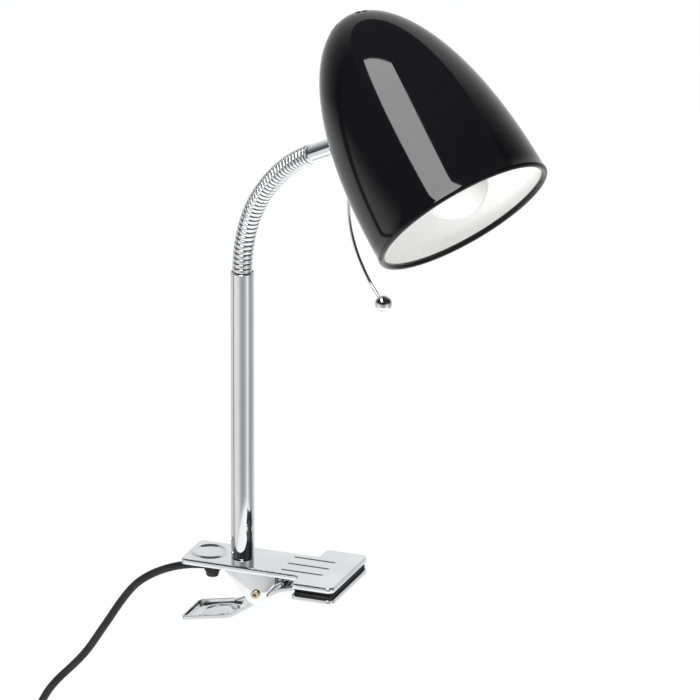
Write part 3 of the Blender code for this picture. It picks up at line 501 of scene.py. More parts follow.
def paddle(half, end, inset=0.0, corner_steps=8, spacing=2.5 * MM):
    """Outline of a clamp half, drawn in by inset: a narrow handle that widens into the jaw."""
    convex, hollow = -inset, inset
    side = [
        (end + inset, -half + inset, 4.0 * MM + convex),
        (JAW_START + inset, -half + inset, 2.2 * MM + hollow),
        (JAW_START + inset, -JAW_HALF + inset, 3.0 * MM + convex),
        (JAW_END - inset, -JAW_HALF + inset, 4.0 * MM + convex),
    ]
    corners = side + [(x, -y, r) for x, y, r in reversed(side)]
    arcs = []
    for i, (x, y, radius) in enumerate(corners):
        here = Vector((x, y))
        before = (Vector(corners[i - 1][:2]) - here).normalized()
        after = (Vector(corners[(i + 1) % len(corners)][:2]) - here).normalized()
        middle = here + (before + after) * radius
        start = -after * radius
        turn = start.angle_signed(-before * radius)
        turns = [Matrix.Rotation(-turn * k / corner_steps, 2) for k in range(corner_steps + 1)]
        arcs.append([middle + matrix @ start for matrix in turns])
    base = []
    for i, arc in enumerate(arcs):
        base += arc
        length = (Vector(corners[(i + 1) % len(corners)][:2]) - Vector(corners[i][:2])).length
        count = max(1, int(length / spacing))
        base += [arc[-1].lerp(arcs[(i + 1) % len(arcs)][0], k / count) for k in range(1, count)]
    return base


def ring_height(distance):
    """Profile of the pressed finger ring against the distance from its centre."""
    crest = 1.15 * MM * math.exp(-((distance - RING_RADIUS) / (1.25 * MM)) ** 2)
    dish = 1 - min(1.0, distance / (RING_RADIUS - 1 * MM)) ** 2
    return crest - 0.35 * MM * dish


def slot_depth(x, y):
    """Depth of the nearest of the three grooves pressed into the jaw."""
    x_off = max(SLOT_X[0] - x, 0.0, x - SLOT_X[1])
    distance = min(math.hypot(x_off, y - centre) for centre in SLOTS_Y)
    return 0.6 * MM * math.exp(-((distance / (0.75 * MM)) ** 2))


def stamping_points(border, ring_x, grooves):
    """Points of the sheet inside its border: close over the ring and the grooves, wider elsewhere."""
    low_x, high_x = min(p.x for p in border), max(p.x for p in border)
    low_y, high_y = min(p.y for p in border), max(p.y for p in border)
    points = list(border)
    for radius in [k * 0.55 * MM for k in range(1, 26)]:
        steps = max(8, round(2 * math.pi * radius / (1.1 * MM)))
        points += [
            Vector((ring_x + radius * math.cos(a), radius * math.sin(a)))
            for a in (2 * math.pi * k / steps for k in range(steps))
        ]
    points.append(Vector((ring_x, 0.0)))
    if grooves:
        for centre in SLOTS_Y:
            for row in range(-4, 5):
                for column in range(37):
                    x = SLOT_X[0] - 2 * MM + (SLOT_X[1] - SLOT_X[0] + 4 * MM) * column / 36
                    points.append(Vector((x, centre + row * 0.35 * MM)))
    step = 2.4 * MM
    for i in range(int((high_x - low_x) / step) + 1):
        for j in range(int((high_y - low_y) / step) + 1):
            spot = Vector((low_x + i * step, low_y + j * step))
            clear_ring = math.hypot(spot.x - ring_x, spot.y) > 14.6 * MM
            in_slots = grooves and SLOT_X[0] - 3 * MM < spot.x < SLOT_X[1] + 3 * MM and any(
                abs(spot.y - centre) < 2.2 * MM for centre in SLOTS_Y)
            if clear_ring and not in_slots:
                points.append(spot)
    return points


def rim_profile():
    """Inset and height of the plate's outline down its rolled edge, round its rim and back inside."""
    steps = 6
    angles = [math.pi / 2 * k / steps for k in range(steps + 1)]
    rolled = [(ROLL * (1 - math.sin(a)), ROLL * (math.cos(a) - 1)) for a in angles]
    foot = [(0.0, -RIM + 0.35 * MM), (0.1 * MM, -RIM + 0.1 * MM), (0.35 * MM, -RIM),
            (SHEET - 0.35 * MM, -RIM), (SHEET - 0.1 * MM, -RIM + 0.1 * MM), (SHEET, -RIM + 0.35 * MM)]
    inside = [(SHEET, -SHEET - 0.3 * MM), (SHEET + 0.1 * MM, -SHEET - 0.1 * MM), (SHEET + 0.3 * MM, -SHEET)]
    return rolled + foot + inside


def stamped_sheet(name, half, end, ring_x, grooves, bend=None):
    """A stamped plate: sheet with a rolled edge and turned rim, finger ring and grooves pressed in.

    It is built flat with its outer face up and its rim down, and bend may then wrap it.
    """

    def relief(x, y):
        height = ring_height(math.hypot(x - ring_x, y))
        return height - slot_depth(x, y) if grooves else height

    border = [Vector(p) for p in paddle(half, end, ROLL + 0.6 * MM)]
    count = len(border)
    edges = [(i, (i + 1) % count) for i in range(count)]
    points = stamping_points(border, ring_x, grooves)
    verts, _, faces, origin, _, _ = delaunay_2d_cdt(points, edges, [], 1, 1e-6)
    bm = bmesh.new()
    layers = []
    for level, flip in ((0.0, False), (-SHEET, True)):
        made = [bm.verts.new((v.x, v.y, level + relief(v.x, v.y))) for v in verts]
        for face in faces:
            corners = [made[i] for i in face]
            bm.faces.new(corners[::-1] if flip else corners)
        edge = [None] * count
        for new, olds in enumerate(origin):
            for old in olds:
                if old < count:
                    edge[old] = made[new]
        layers.append(edge)
    rings = [layers[0]]
    for inset, z in rim_profile():
        rings.append([bm.verts.new((p.x, p.y, z)) for p in paddle(half, end, inset)])
    rings.append(layers[1])
    skin(bm, rings)
    if bend:
        for vert in bm.verts:
            vert.co = bend(vert.co)
    return finished(bm, name)


def prism(name, outline, low, high):
    """A plate from an outline in XZ, between two y values, with softened edges."""
    bm = bmesh.new()
    near = [bm.verts.new((x, low, z)) for x, z in outline]
    far = [bm.verts.new((x, high, z)) for x, z in outline]
    bm.faces.new(near)
    bm.faces.new(far[::-1])
    for i in range(len(outline)):
        j = (i + 1) % len(outline)
        bm.faces.new((near[i], far[i], far[j], near[j]))
    bmesh.ops.recalc_face_normals(bm, faces=bm.faces)
    rims = [e for e in bm.edges if abs(e.verts[0].co.y - e.verts[1].co.y) < 1e-7]
    bmesh.ops.bevel(bm, geom=rims, offset=0.25 * MM, segments=2, affect="EDGES", profile=0.5)
    return finished(bm, name)


def arc_about(centre, radius, start, end, count):
    return [
        (centre.x + radius * math.cos(math.radians(start + (end - start) * k / count)),
         centre.z + radius * math.sin(math.radians(start + (end - start) * k / count)))
        for k in range(count + 1)
    ]


def lower_station(distance):
    """Place and upward normal on the lower plate's bent line, with the corners eased."""
    ease = 2.5 * MM

    def raw(along):
        for a, b in zip(LOWER_LINE, LOWER_LINE[1:]):
            length = (b - a).length
            if along <= length or b == LOWER_LINE[-1]:
                return a + (b - a).normalized() * along
            along -= length

    spots = [raw(distance + ease * k / 3) for k in range(-3, 4)]
    place = sum(spots, Vector((0, 0))) / len(spots)
    along = (spots[-1] - spots[0]).normalized()
    return place, Vector((-along.y, along.x))


LOWER_LENGTH = sum((b - a).length for a, b in zip(LOWER_LINE, LOWER_LINE[1:]))


def bend_lower(point):
    """Wraps the flat stamping, outer face up, onto the underside of the bent line."""
    place, normal = lower_station(LOWER_LENGTH - (JAW_END - point.x))
    lifted = place - normal * point.z
    return Vector((lifted.x, point.y, lifted.y))


def build_cheeks(half, body, outline, inner, outer):
    """The two side walls of a clamp half, between two distances from its middle."""
    for side, word in ((-1, "near"), (1, "far")):
        low, high = sorted((side * inner, side * outer))
        wall = piece(f"{half}_cheek_{word}", prism("cheek", outline, low, high), CHROME)
        settle(wall, body, "chrome")


def build_upper_plate():
    mesh = stamped_sheet("upper_plate_stamping", HANDLE_HALF, HANDLE_END, RING_X, True)
    plate = piece("upper_plate_stamping", mesh, CHROME, Matrix.Translation((0, 0, PLATE_TOP)), 50)
    settle(plate, "stand", "chrome", "upper_plate")
    cheek = [(-61.3 * MM, 2.9 * MM), (-61.3 * MM, 1.6 * MM)]
    cheek += arc_about(PIVOT, 7.2 * MM, 208, 370, 28)
    cheek += [(-29.0 * MM, -4.0 * MM), (-28.4 * MM, 2.9 * MM)]
    build_cheeks("upper", "stand", cheek, HANDLE_HALF - 1.25 * MM, HANDLE_HALF - 0.25 * MM)


def build_lower_plate():
    flat_end = JAW_END - LOWER_LENGTH
    ring_x = flat_end + LOWER_RING_ALONG
    mesh = stamped_sheet("lower_plate_stamping", LOWER_HALF, flat_end, ring_x, False, bend_lower)
    settle(piece("lower_plate_stamping", mesh, CHROME, None, 50), "lower_jaw", "chrome", "lower_plate")
    cheek = [(-54.5 * MM, -27.0 * MM), (-30.0 * MM, -10.4 * MM)]
    cheek += arc_about(PIVOT, 6.0 * MM, 20, 190, 28)
    build_cheeks("lower", "lower_jaw", cheek, LOWER_HALF - 1.15 * MM, LOWER_HALF - 0.2 * MM)


def ribbed_pad(name, body, face_up):
    """Rubber jaw pad with low ribs across its gripping face and softened edges."""
    low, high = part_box(name)
    ribs = 9
    bm = bmesh.new()
    outline = []
    width = high.x - low.x
    for k in range(ribs * 8 + 1):
        x = low.x + 0.7 * MM + (width - 1.4 * MM) * k / (ribs * 8)
        outline.append((x, 0.28 * MM * (0.5 - 0.5 * math.cos(2 * math.pi * k / 8))))
    grip, back = (high.z, low.z) if face_up else (low.z, high.z)
    inward = -1 if face_up else 1
    section = [(low.x, back), (low.x, grip + inward * 0.7 * MM), (low.x + 0.2 * MM, grip + inward * 0.2 * MM)]
    section += [(x, grip + inward * depth) for x, depth in outline]
    section += [(high.x - 0.2 * MM, grip + inward * 0.2 * MM), (high.x, grip + inward * 0.7 * MM)]
    section.append((high.x, back))
    rows = [(low.y, 0.6), (low.y + 0.3 * MM, 0.2), (low.y + 0.9 * MM, 0.0),
            (high.y - 0.9 * MM, 0.0), (high.y - 0.3 * MM, 0.2), (high.y, 0.6)]
    rings = []
    middle = (low.x + high.x) / 2
    for y, shrink in rows:
        ring = []
        for x, z in section:
            toward = shrink * MM
            x_in = x + (toward if x < middle else -toward) * min(1.0, abs(x - middle) / (width / 2)) ** 8
            z_in = z if z == back else z + inward * toward * 0.6
            ring.append(bm.verts.new((x_in, y, z_in)))
        rings.append(ring)
    skin(bm, rings)
    bm.faces.new(rings[0])
    bm.faces.new(rings[-1][::-1])
    settle(piece(name + "_rubber", finished(bm, name), RUBBER, None, 50), body, "rubber", name)


def build_rivet():
    """Hollow rivet through all four cheeks, with a rolled head at each end."""
    head_in, head_out = 17.3 * MM, 18.5 * MM
    bore, shank, head = 1.1 * MM, 2.0 * MM, 2.8 * MM
    half = fillet([
        (bore, 0.0, 0), (bore, head_out - 0.2 * MM, 0.5 * MM), (1.7 * MM, head_out, 0.4 * MM),
        (head, head_out - 0.1 * MM, 0.6 * MM), (head, head_in, 0.2 * MM), (shank, head_in, 0.1 * MM),
        (shank, 0.0, 0),
    ])
    profile = half[1:-1] + [(r, -z) for r, z in reversed(half[1:-1])]
    rivet = piece("pivot_rivet_rolled", turned("rivet", profile, 64, True), BRASS,
                  axis_frame(PIVOT, (0, 1, 0), (1, 0, 0)))
    settle(rivet, "stand", "brass", "pivot_rivet")


# ---------------------------------------------------------------- post and neck


def arm(h, z):
    """A point of the arm's upright plane: h out from the post's axis and z above the plate."""
    return Vector((POST_X + h * math.cos(ARM_TURN), h * math.sin(ARM_TURN), PLATE_TOP + z))


def arm_direction(angle):
    flat = math.sin(angle)
    return Vector((flat * math.cos(ARM_TURN), flat * math.sin(ARM_TURN), math.cos(angle)))


def neck_station(distance):
    """h, z and lean from the vertical at a distance along the neck from the top of the post."""
    h, z, lean = 0.0, POST_LENGTH, 0.0
    if distance < 0:
        return h, z + distance, lean
    for radius, sweep in NECK_ARCS:
        part = min(distance / radius, sweep)
        h += radius * (math.cos(lean) - math.cos(lean + part))
        z += radius * (math.sin(lean + part) - math.sin(lean))
        lean += part
        distance -= radius * part
    return h, z, lean


NECK_LENGTH = sum(radius * sweep for radius, sweep in NECK_ARCS)


def neck_point(distance):
    h, z, _ = neck_station(distance)
    return arm(h, z)


def build_post():
    profile = fillet([
        (6.5 * MM, POST_LENGTH, 0), (POST_RADIUS, POST_LENGTH, 0.45 * MM), (POST_RADIUS, 0.3 * MM, 0.45 * MM),
        (6.5 * MM, 0.3 * MM, 0),
    ])
    post = piece("post_chrome", turned("post", profile, 128, True), CHROME,
                 Matrix.Translation((POST_X, 0, PLATE_TOP)))
    settle(post, "stand", "chrome", "post_tube")


def ringed_tube(name, first, last):
    """A stretch of the wound neck between two ring numbers: each turn is a rounded bead."""
    pitch = NECK_LENGTH / NECK_RINGS
    around, along = 48, 14
    side = Vector((-math.sin(ARM_TURN), math.cos(ARM_TURN), 0.0))
    bm = bmesh.new()
    rings = []
    for k in range((last - first) * along + 1):
        phase = (k % along) / along
        distance = (first + k / along) * pitch
        off_middle = abs(2 * phase - 1)
        depth = 0.14 * MM * off_middle ** 2 + 0.75 * MM * max(0.0, (off_middle - 0.62) / 0.38) ** 2
        radius = NECK_RADIUS - depth
        _, _, lean = neck_station(distance)
        normal = arm_direction(lean + math.pi / 2)
        centre = neck_point(distance)
        rings.append([
            bm.verts.new(centre + (normal * math.cos(a) + side * math.sin(a)) * radius)
            for a in (2 * math.pi * i / around for i in range(around))
        ])
    for index, face in enumerate(skin(bm, rings)):
        # The faces at each groove's bottom take the second material, the painted shade.
        face.material_index = int(index // around % along in (0, along - 1))
    bm.faces.new(rings[0][::-1])
    bm.faces.new(rings[-1])
    return piece(name, finished(bm, name), [CHROME, GROOVE_PAINTED_SHADE], None, 70)


def build_neck():
    """Five stretches of the neck: the end ones ride on their bodies, and the three middle ones, each across a
    hinge, stay where they are built.
    """
    settle(ringed_tube("neck_wound_foot", -3, 4), "neck_foot", "chrome", "neck_base")
    spans = (
        ("neck_wound_1", 4, 12, "neck_foot", "neck_low", NECK_HINGES[0], ("neck_link_low",)),
        ("neck_wound_2", 12, 23, "neck_low", "neck_mid", NECK_HINGES[1], ("neck_link_mid",)),
        ("neck_wound_3", 23, 32, "neck_mid", "head", NECK_HINGES[2], ("neck_top",)),
    )
    for name, first, last, below, above, hinge, nodes in spans:
        tube = ringed_tube(name, first, last)
        _, _, lean = neck_station(hinge)
        reach = arm_direction(lean) * 11 * MM
        neck_point(hinge) - reach
        neck_point(hinge) + reach
        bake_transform(tube)
        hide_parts(*nodes)
    settle(ringed_tube("neck_wound_top", 32, NECK_RINGS), "head", "chrome")


# ---------------------------------------------------------------- head


def shade_radius(t, radius, length):
    return radius * math.sqrt(max(0.0, 1.0 - (t / length) ** SHADE_POWER))


def head_frame():
    """The shade's frame: origin at its opening, Z to its tip and X to the side that the neck holds."""
    apex = Vector((-math.cos(SHADE_TILT) * math.cos(ARM_TURN), -math.cos(SHADE_TILT) * math.sin(ARM_TURN),
                   math.sin(SHADE_TILT)))
    back = Vector((-math.sin(SHADE_TILT) * math.cos(ARM_TURN), -math.sin(SHADE_TILT) * math.sin(ARM_TURN),
                   -math.cos(SHADE_TILT)))
    turn = Matrix((back, apex.cross(back), apex)).transposed().to_4x4()
    _, _, lean = neck_station(NECK_LENGTH)
    wall = neck_point(NECK_LENGTH) + arm_direction(lean) * FERRULE_LENGTH
    joint = Vector((shade_radius(SHADE_JOINT_T, SHADE_RADIUS, SHADE_LENGTH), 0, SHADE_JOINT_T))
    return Matrix.Translation(wall - turn.to_3x3() @ joint) @ turn


HEAD = head_frame()


def joint_frame():
    joint = Vector((shade_radius(SHADE_JOINT_T, SHADE_RADIUS, SHADE_LENGTH), 0, SHADE_JOINT_T))
    return axis_frame(joint, (math.cos(SHADE_NORMAL_TILT), 0, math.sin(SHADE_NORMAL_TILT)))


def wire_frame():
    t = 70.0 * MM
    joint = Vector((shade_radius(t, SHADE_RADIUS, SHADE_LENGTH), 0, t))
    return axis_frame(joint, (math.cos(math.radians(12)), 0, math.sin(math.radians(12))))


def build_shade():
    """Spun metal bullet, black outside and white inside, with a rolled lip and vent holes at its tip."""
    steps = 56
    lip_centre = SHADE_RADIUS - LIP_RADIUS + 0.5 * MM
    top = 2.2 * LIP_RADIUS

    def wall(radius, length):
        heights = [length * math.cos(math.pi / 2 * k / steps) for k in range(1, steps)]
        return [(shade_radius(t, radius, length), t) for t in heights if t > top]

    outer = [(0.0, SHADE_LENGTH), *wall(SHADE_RADIUS, SHADE_LENGTH)]
    lip = [
        (lip_centre + LIP_RADIUS * math.cos(a), LIP_RADIUS + LIP_RADIUS * math.sin(a))
        for a in (math.radians(degrees) for degrees in range(35, -226, -20))
    ]
    inner_length = SHADE_LENGTH - SHADE_WALL
    inner = [*reversed(wall(SHADE_RADIUS - SHADE_WALL, inner_length)), (0.0, inner_length)]
    paint = [0] * (len(outer) + len(lip) - 1) + [1] * len(inner)
    shade = piece("shade_spun", turned("shade", outer + lip + inner, 160, False, paint),
                  [BLACK_ENAMEL, WHITE_ENAMEL], HEAD)
    cuts = []
    vent = solid_profile([(VENT_RADIUS, SHADE_LENGTH + 5 * MM), (VENT_RADIUS, 120 * MM)])
    for k in range(VENTS):
        angle = 2 * math.pi * k / VENTS
        hole = turned("vent", vent, 48)
        spot = Matrix.Translation((VENT_CIRCLE * math.cos(angle), VENT_CIRCLE * math.sin(angle), 0))
        cuts.append(moved(hole, HEAD @ spot))
    for place, radius in ((joint_frame(), 5.3 * MM), (wire_frame(), 1.3 * MM)):
        hole = turned("hole", solid_profile([(radius, 6 * MM), (radius, -6 * MM)]), 32)
        cuts.append(moved(hole, HEAD @ place))
    carve(shade, cuts)
    settle(shade, "head", "black_enamel", "shade")


def build_joint():
    """Ferrule that the neck ends in: a plain sleeve with a bead where the neck enters it."""
    place = HEAD @ joint_frame()
    length = FERRULE_LENGTH - 0.3 * MM
    bead = FERRULE_RADIUS
    stub, stub_end, shoulder = 4.8 * MM, -8.6 * MM, 2.2 * MM
    profile = fillet([
        (0.0, length, 0), (bead - 0.1 * MM, length, 0.5 * MM), (bead, length - 3.2 * MM, 0.3 * MM),
        (bead - 0.35 * MM, length - 3.9 * MM, 0.3 * MM), (bead - 0.35 * MM, 3.2 * MM, 0.4 * MM),
        (bead - 0.8 * MM, shoulder, 0.2 * MM), (stub, shoulder, 0.1 * MM), (stub, stub_end, 0.3 * MM),
        (0.0, stub_end, 0),
    ])
    sleeve = piece("ferrule_sleeve", turned("ferrule", profile, 96), CHROME, place)
    settle(sleeve, "head", "chrome", "ferrule")


def build_lamp():
    """Golf-ball bulb and the lamp holder."""
    axis = HEAD @ Matrix.Translation((HOLDER_X, 0, 0))
    bore = CAP_RADIUS + 0.3 * MM
    floor = HOLDER_BOTTOM + 21.5 * MM
    nipple, nipple_end = 4.1 * MM, HOLDER_TOP + 7.0 * MM
    holder = fillet([
        (0.0, nipple_end, 0), (nipple, nipple_end, 0.4 * MM), (nipple, HOLDER_TOP, 0.1 * MM),
        (11.5 * MM, HOLDER_TOP, 1.4 * MM), (11.5 * MM, HOLDER_BOTTOM + 14.5 * MM, 0.5 * MM),
        (HOLDER_RADIUS, HOLDER_BOTTOM + 13.5 * MM, 0.6 * MM), (HOLDER_RADIUS, HOLDER_BOTTOM, 0.9 * MM),
        (bore, HOLDER_BOTTOM, 0.5 * MM), (bore, floor, 0.2 * MM), (0.0, floor, 0),
    ])
    body = piece("lamp_holder_body", turned("holder", holder, 96), WHITE_PLASTIC, axis)
    settle(body, "head", "white_plastic", "lamp_holder")
    top = HOLDER_BOTTOM - 0.9 * MM
    meet = math.radians(48)
    shoulder = Vector((BULB_RADIUS * math.cos(meet), BULB_CENTRE + BULB_RADIUS * math.sin(meet)))
    slope = Vector((-math.sin(meet), math.cos(meet)))
    neck = Vector((6.8 * MM, top))
    pull = (neck - shoulder).length * 0.45
    glass = []
    for k in range(14):
        s = k / 14
        a, b, c, d = neck, neck - Vector((0, pull)), shoulder + slope * pull, shoulder
        spot = a * (1 - s) ** 3 + b * 3 * s * (1 - s) ** 2 + c * 3 * s * s * (1 - s) + d * s ** 3
        glass.append((spot.x, spot.y))
    for k in range(49):
        angle = meet - (meet + math.pi / 2) * k / 48
        glass.append((max(0.0, BULB_RADIUS * math.cos(angle)), BULB_CENTRE + BULB_RADIUS * math.sin(angle)))
    glass[-1] = (0.0, glass[-1][1])
    bulb = piece("bulb_opal", turned("bulb", [(0.0, top), *glass], 96), OPAL, axis, 60)
    settle(bulb, "head", "opal_glass", "bulb_glass")


def build_grip_wire():
    place = HEAD @ wire_frame()
    inside = [place @ Vector((0, 0, z * MM)) for z in (-6.5, -3.0, 0.0)]
    below = [arm(h * MM, z * MM) for h, z in (
        (106.6, 282.0), (100.2, 272.4), (97.0, 261.4), (96.6, 249.6), (98.8, 238.4), (103.2, 228.0),
        (109.2, 218.8), (116.4, 210.4), (123.6, 204.0),
    )]
    settle(wire("grip_wire_bent", smooth_line(inside + below, 1.0 * MM), 1.0 * MM, CHROME), "head", "chrome",
           "grip_wire")
    low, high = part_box("grip_ball")
    centre = (low + high) / 2
    radius = (high.z - low.z) / 2
    toward = (centre - below[-1]).normalized()
    angles = [math.pi * (0.08 + 0.92 * k / 40) for k in range(40)]
    flat_top = [(0.0, radius * 0.985), (radius * 0.17, radius * 0.985)]
    profile = [*flat_top, *((radius * math.sin(a), radius * math.cos(a)) for a in angles), (0.0, -radius)]
    ball = piece("grip_ball_turned", turned("ball", profile, 64), CHROME, axis_frame(centre, -toward), 60)
    settle(ball, "head", "chrome", "grip_ball")


# ---------------------------------------------------------------- lead


def eased(share):
    """A smooth step from 0 to 1 as share goes from 0 to 1."""
    return 0.5 - 0.5 * math.cos(math.pi * min(1.0, max(0.0, share)))


def coil_points():
    """The lead's turns, wound from the top to the left, three wide and three deep.

    Each turn crosses to its next place a little before the turn that follows it there has been laid,
    so no two of them meet.
    """
    pitch = 2 * CORD_RADIUS
    places = ((1, 1), (1, 0), (0, 0), (0, 1), (-1, 1), (-1, 0), (-1, -1), (0, -1), (1, -1))
    per_turn = 24
    crossing, lead = 75.0, 25.0
    inward = 6 / (4 + 2 * math.cos(2 * math.pi / per_turn))
    points = []
    for turn, (layer, row) in enumerate(places):
        last = turn == len(places) - 1
        next_layer, next_row = places[turn if last else turn + 1]
        for k in range(per_turn // 4 + 1 if last else per_turn):
            phase = 360 * k / per_turn
            share = eased((phase - (360 - crossing - lead * turn)) / crossing)
            radius = (COIL_RADIUS + pitch * (layer + (next_layer - layer) * share)) * inward
            y = pitch * (row + (next_row - row) * share)
            angle = math.pi / 2 + math.radians(phase)
            points.append(COIL_CENTRE + Vector((radius * math.cos(angle), y, radius * math.sin(angle))))
    return points


def cord_points():
    """The whole lead: out of the grip, down through the switch, round the coil and into the plug."""
    free = [Vector((x, 0, z)) * MM for x, z in CORD_ROUTE]
    through = [SWITCH_CENTRE + Vector((0, 0, dz)) * MM for dz in (18.0, 6.0, -6.0, -18.0, -29.0)]
    bend = 20.0 * MM
    outer = COIL_RADIUS + 2 * CORD_RADIUS
    corner = COIL_CENTRE + Vector((0, 0, outer + bend))
    arc = []
    for k in range(7):
        angle = math.pi / 2 * k / 7
        y = 2 * CORD_RADIUS * eased(k / 6)
        arc.append(corner + Vector((bend * math.cos(angle), y, -bend * math.sin(angle))))
    turns = coil_points()
    last = Vector((COIL_CENTRE.x - outer, turns[-1].y, turns[-1].z))
    tail = [last - Vector((0, 0, drop)) * MM for drop in (8.0, 16.0, 24.0, 31.0)]
    return free + through + arc + turns + tail


def build_lead():
    """The lead in one length, with its switch, tie and plug."""
    line = cord_points()
    cord = wire("mains_lead", line, CORD_RADIUS, CORD_SHEATH, 5, "NURBS")
    settle(cord, "stand", "black_cord", "cord_upper", "cord_lower", "cord_coil")
    on_it = [*build_switch(), build_tie(), *build_plug()]


def build_cord_grip():
    """Black bushing under the handle that holds the lead."""
    low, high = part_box("cord_grip")
    centre = (low + high) / 2
    top, foot = high.z, low.z
    radius = (high.x - low.x) / 2
    profile = fillet([
        (0.0, top, 0), (radius, top, 0.6 * MM), (radius, foot + 3.9 * MM, 0.3 * MM),
        (radius - 0.7 * MM, foot + 3.4 * MM, 0.2 * MM), (radius - 1.3 * MM, foot, 0.9 * MM), (0.0, foot, 0),
    ])
    body = piece("cord_grip_bushing", turned("grip", profile, 64), BLACK_PLASTIC,
                 Matrix.Translation((centre.x, centre.y, 0)))
    settle(body, "stand", "black_plastic", "cord_grip")


def rounded_block(name, low, high, radius, segments=6):
    """A moulded block with rounded edges between two corners."""
    bm = bmesh.new()
    bmesh.ops.create_cube(bm, size=1.0)
    bmesh.ops.scale(bm, vec=high - low, verts=bm.verts)
    bmesh.ops.translate(bm, vec=(high + low) / 2, verts=bm.verts)
    bmesh.ops.bevel(bm, geom=bm.edges, offset=radius, segments=segments, affect="EDGES", profile=0.5)
    return finished(bm, name)


def switch_half(node, name):
    """One moulded half of the switch's case; the front half has a window for the rocker."""
    low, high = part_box(node)
    middle = (low + high) / 2
    half = (high - low) / 2
    outline = round_corners((middle.x, middle.z), (half.x, half.z), 8 * MM, 12)
    outward = -1 if node == "switch_cover" else 1
    seam = high.y if outward < 0 else low.y
    face = low.y if outward < 0 else high.y
    rows = [(0.25, seam), (0.0, seam + outward * 0.3 * MM)]
    rows += [(1.8 * (1 - math.cos(a)), face - outward * 1.8 * MM * (1 - math.sin(a)))
             for a in (math.pi / 2 * k / 6 for k in range(7))]
    bm = bmesh.new()
    rings = []
    for shrink, y in rows:
        fx, fz = 1 - shrink * MM / half.x, 1 - shrink * MM / half.z
        rings.append([bm.verts.new((middle.x + (x - middle.x) * fx, y, middle.z + (z - middle.z) * fz))
                      for x, z in outline])
    skin(bm, rings)
    bm.faces.new(rings[0])
    bm.faces.new(rings[-1])
    shell = piece(name, finished(bm, node), BLACK_PLASTIC)
    if node == "switch_cover":
        window = Vector((5.6, 4.5, 8.0)) * MM
        centre = Vector((middle.x, low.y, middle.z))
        carve(shell, [rounded_block("window", centre - window, centre + window, 0.8 * MM, 3)])
    return settle(shell, "stand", "black_plastic", node)


def build_switch():
    """Inline switch: two moulded halves and the rocker."""
    back = switch_half("switch_base", "switch_back_moulding")
    front = switch_half("switch_cover", "switch_front_moulding")
    return [back, front, build_rocker()]


def build_rocker():
    """The rocker: a saddle-shaped key, leaning to its off side."""
    tilt = math.radians(7)
    pivot = Vector(JOINTS["rocker_tilt"]["pos_m"])
    bm = bmesh.new()
    across, along = 10, 18
    half_x, half_z = 5.1 * MM, 7.2 * MM
    rows = []
    for i in range(along + 1):
        z = half_z * (2 * i / along - 1)
        row = []
        for j in range(across + 1):
            x = half_x * (2 * j / across - 1)
            edge = max(abs(z) / half_z, abs(x) / half_x)
            saddle = 1.0 * MM * (abs(z) / half_z) ** 1.5
            rounding = 0.35 * MM * max(0.0, (edge - 0.85) / 0.15) ** 2
            row.append(bm.verts.new((x, -2.7 * MM + saddle + rounding, z)))
        rows.append(row)
    for a, b in zip(rows, rows[1:]):
        for j in range(across):
            bm.faces.new((a[j], a[j + 1], b[j + 1], b[j]))
    rim = [e for e in bm.edges if e.is_boundary]
    skirt = bmesh.ops.extrude_edge_only(bm, edges=rim)["geom"]
    foot = [g for g in skirt if isinstance(g, bmesh.types.BMVert)]
    for vert in foot:
        vert.co.y = 0.8 * MM
    bmesh.ops.contextual_create(bm, geom=[g for g in skirt if isinstance(g, bmesh.types.BMEdge)])
    key = piece("switch_rocker_key", finished(bm, "rocker"), BLACK_PLASTIC,
                Matrix.Translation(pivot) @ Matrix.Rotation(tilt, 4, "X"))
    return settle(key, "rocker", "black_plastic", "switch_rocker")


def build_tie():
    """Flat plastic tie round the turns at the top of the coil."""
    half = 7.2 * MM + 0.35 * MM
    thick = 0.9 * MM
    width = 2.4 * MM
    lean = Matrix.Rotation(math.radians(24), 4, "Y")
    place = Matrix.Translation(COIL_CENTRE) @ lean.inverted() @ Matrix.Translation((0, 0, COIL_RADIUS))
    bm = bmesh.new()
    rings = []
    for grow, x in ((0.0, -width), (0.0, width), (thick, width), (thick, -width)):
        outline = round_corners((0.0, 0.0), (half + grow, half + grow), 3.0 * MM + grow, 8)
        rings.append([bm.verts.new((x, y, z)) for y, z in outline])
    skin(bm, rings, loop=True)
    band = piece("coil_tie_band", finished(bm, "tie"), BLACK_PLASTIC, place)
    return settle(band, "stand", "black_plastic", "coil_tie")


